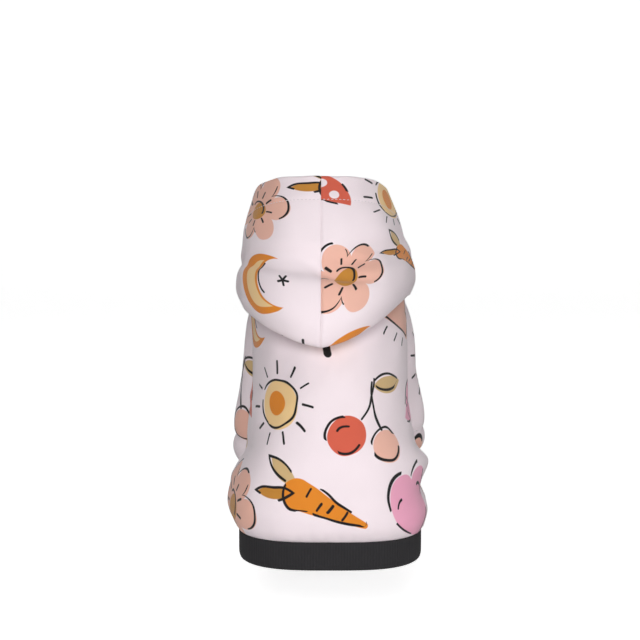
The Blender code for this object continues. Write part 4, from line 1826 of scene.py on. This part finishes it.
@dataclass
class Studio:
    """Pale floor, soft light and the camera behind the garment."""

    floor_height: float = -0.345
    distance: float = 1.8
    half_width: float = 0.288
    elevation: float = 8.0
    target: tuple[float, float, float] = (-0.009, 0.0, -0.0906)
    lamps_aim: tuple[float, float, float] = (0.0, 0.0, -0.1)
    world_light: float = 0.12
    floor_glow: float = 0.75  # makes the floor as pale as the backdrop for the camera alone

    def build(self) -> None:
        """Builds the floor, the light and the camera."""
        self.floor()
        self.lights()
        self.camera()

    def floor(self) -> None:
        """A large pale floor that rises softly behind."""
        profile = [(-4.0, 0.0), (2.0, 0.0)]
        profile += [(2.0 + sin(radians(a)) * 1.5, 1.5 - cos(radians(a)) * 1.5) for a in range(5, 95, 5)]
        profile += [(3.5, 6.0)]
        points = [(x, y, z + self.floor_height) for y, z in profile for x in (-7.0, 7.0)]
        faces = [(2 * k, 2 * k + 1, 2 * k + 3, 2 * k + 2) for k in range(len(profile) - 1)]
        mesh = bpy.data.meshes.new("floor")
        mesh.from_pydata(points, [], faces)
        mesh.shade_smooth()
        material = bpy.data.materials.new("pale floor")
        material.use_nodes = True
        tree = material.node_tree
        shader = tree.nodes["Principled BSDF"]
        shader.inputs["Base Color"].default_value = (0.92, 0.92, 0.92, 1.0)
        shader.inputs["Roughness"].default_value = 0.9
        shader.inputs["Specular IOR Level"].default_value = 0.1
        shader.inputs["Emission Color"].default_value = (1.0, 1.0, 1.0, 1.0)
        path = tree.nodes.new("ShaderNodeLightPath")
        seen = Socket(tree, path.outputs["Is Camera Ray"]).math("MULTIPLY", self.floor_glow)
        feed(tree, shader.inputs["Emission Strength"], seen)
        mesh.materials.append(material)
        floor = bpy.data.objects.new("floor", mesh)
        bpy.context.collection.objects.link(floor)

    def lights(self) -> None:
        """Soft light from all round, and a large soft light from the camera's side."""
        scene = bpy.context.scene
        world = bpy.data.worlds.new("studio")
        world.use_nodes = True
        tree = world.node_tree
        path = tree.nodes.new("ShaderNodeLightPath")
        camera_ray = Socket(tree, path.outputs["Is Camera Ray"])
        seen = camera_ray.math("MULTIPLY_ADD", 1.0 - self.world_light, self.world_light)
        feed(tree, tree.nodes["Background"].inputs["Color"], (1.0, 1.0, 1.0))
        feed(tree, tree.nodes["Background"].inputs["Strength"], seen)
        scene.world = world
        for lamp in LAMPS:
            data = bpy.data.lights.new(lamp.name, "AREA")
            data.shape, data.size, data.energy = "DISK", lamp.width, lamp.power
            light = bpy.data.objects.new(lamp.name, data)
            light.location = lamp.place
            aim = Vector(self.lamps_aim) - light.location
            light.rotation_euler = aim.to_track_quat("-Z", "Y").to_euler()
            bpy.context.collection.objects.link(light)
        scene.view_settings.view_transform = "Standard"
        scene.view_settings.look = "None"

    def camera(self) -> None:
        """The camera, at the photograph's angle."""
        data = bpy.data.cameras.new("camera")
        data.angle = 2 * atan(self.half_width / self.distance)
        camera = bpy.data.objects.new("camera", data)
        tilt = radians(self.elevation)
        camera.location = Vector(self.target) - self.distance * Vector((0.0, cos(tilt), -sin(tilt)))
        camera.rotation_euler = (radians(90.0) - tilt, 0.0, 0.0)
        bpy.context.collection.objects.link(camera)
        bpy.context.scene.camera = camera


def main() -> None:
    """Builds every piece in its order."""
    logging.basicConfig(level=logging.INFO, format="%(name)s %(message)s")
    wardrobe = Wardrobe()
    form = BodyForm()
    tubes = tuple(SleeveForm(form, side) for side in Side)
    body = BodyCloth(form, tubes)
    body.build(wardrobe)
    whole = body.whole().tree()
    for tube in tubes:
        Sleeve(tube, whole, print_shift=(0.03, 0.05)).build(wardrobe)
    for side, shift in ((Side.LEFT, (0.11, 0.06)), (Side.RIGHT, (0.02, 0.14))):
        Hood(form, side, print_shift=shift).build(wardrobe)
    Trims(form, tubes).build(wardrobe)
    Studio().build()


if __name__ == "__main__":
    main()
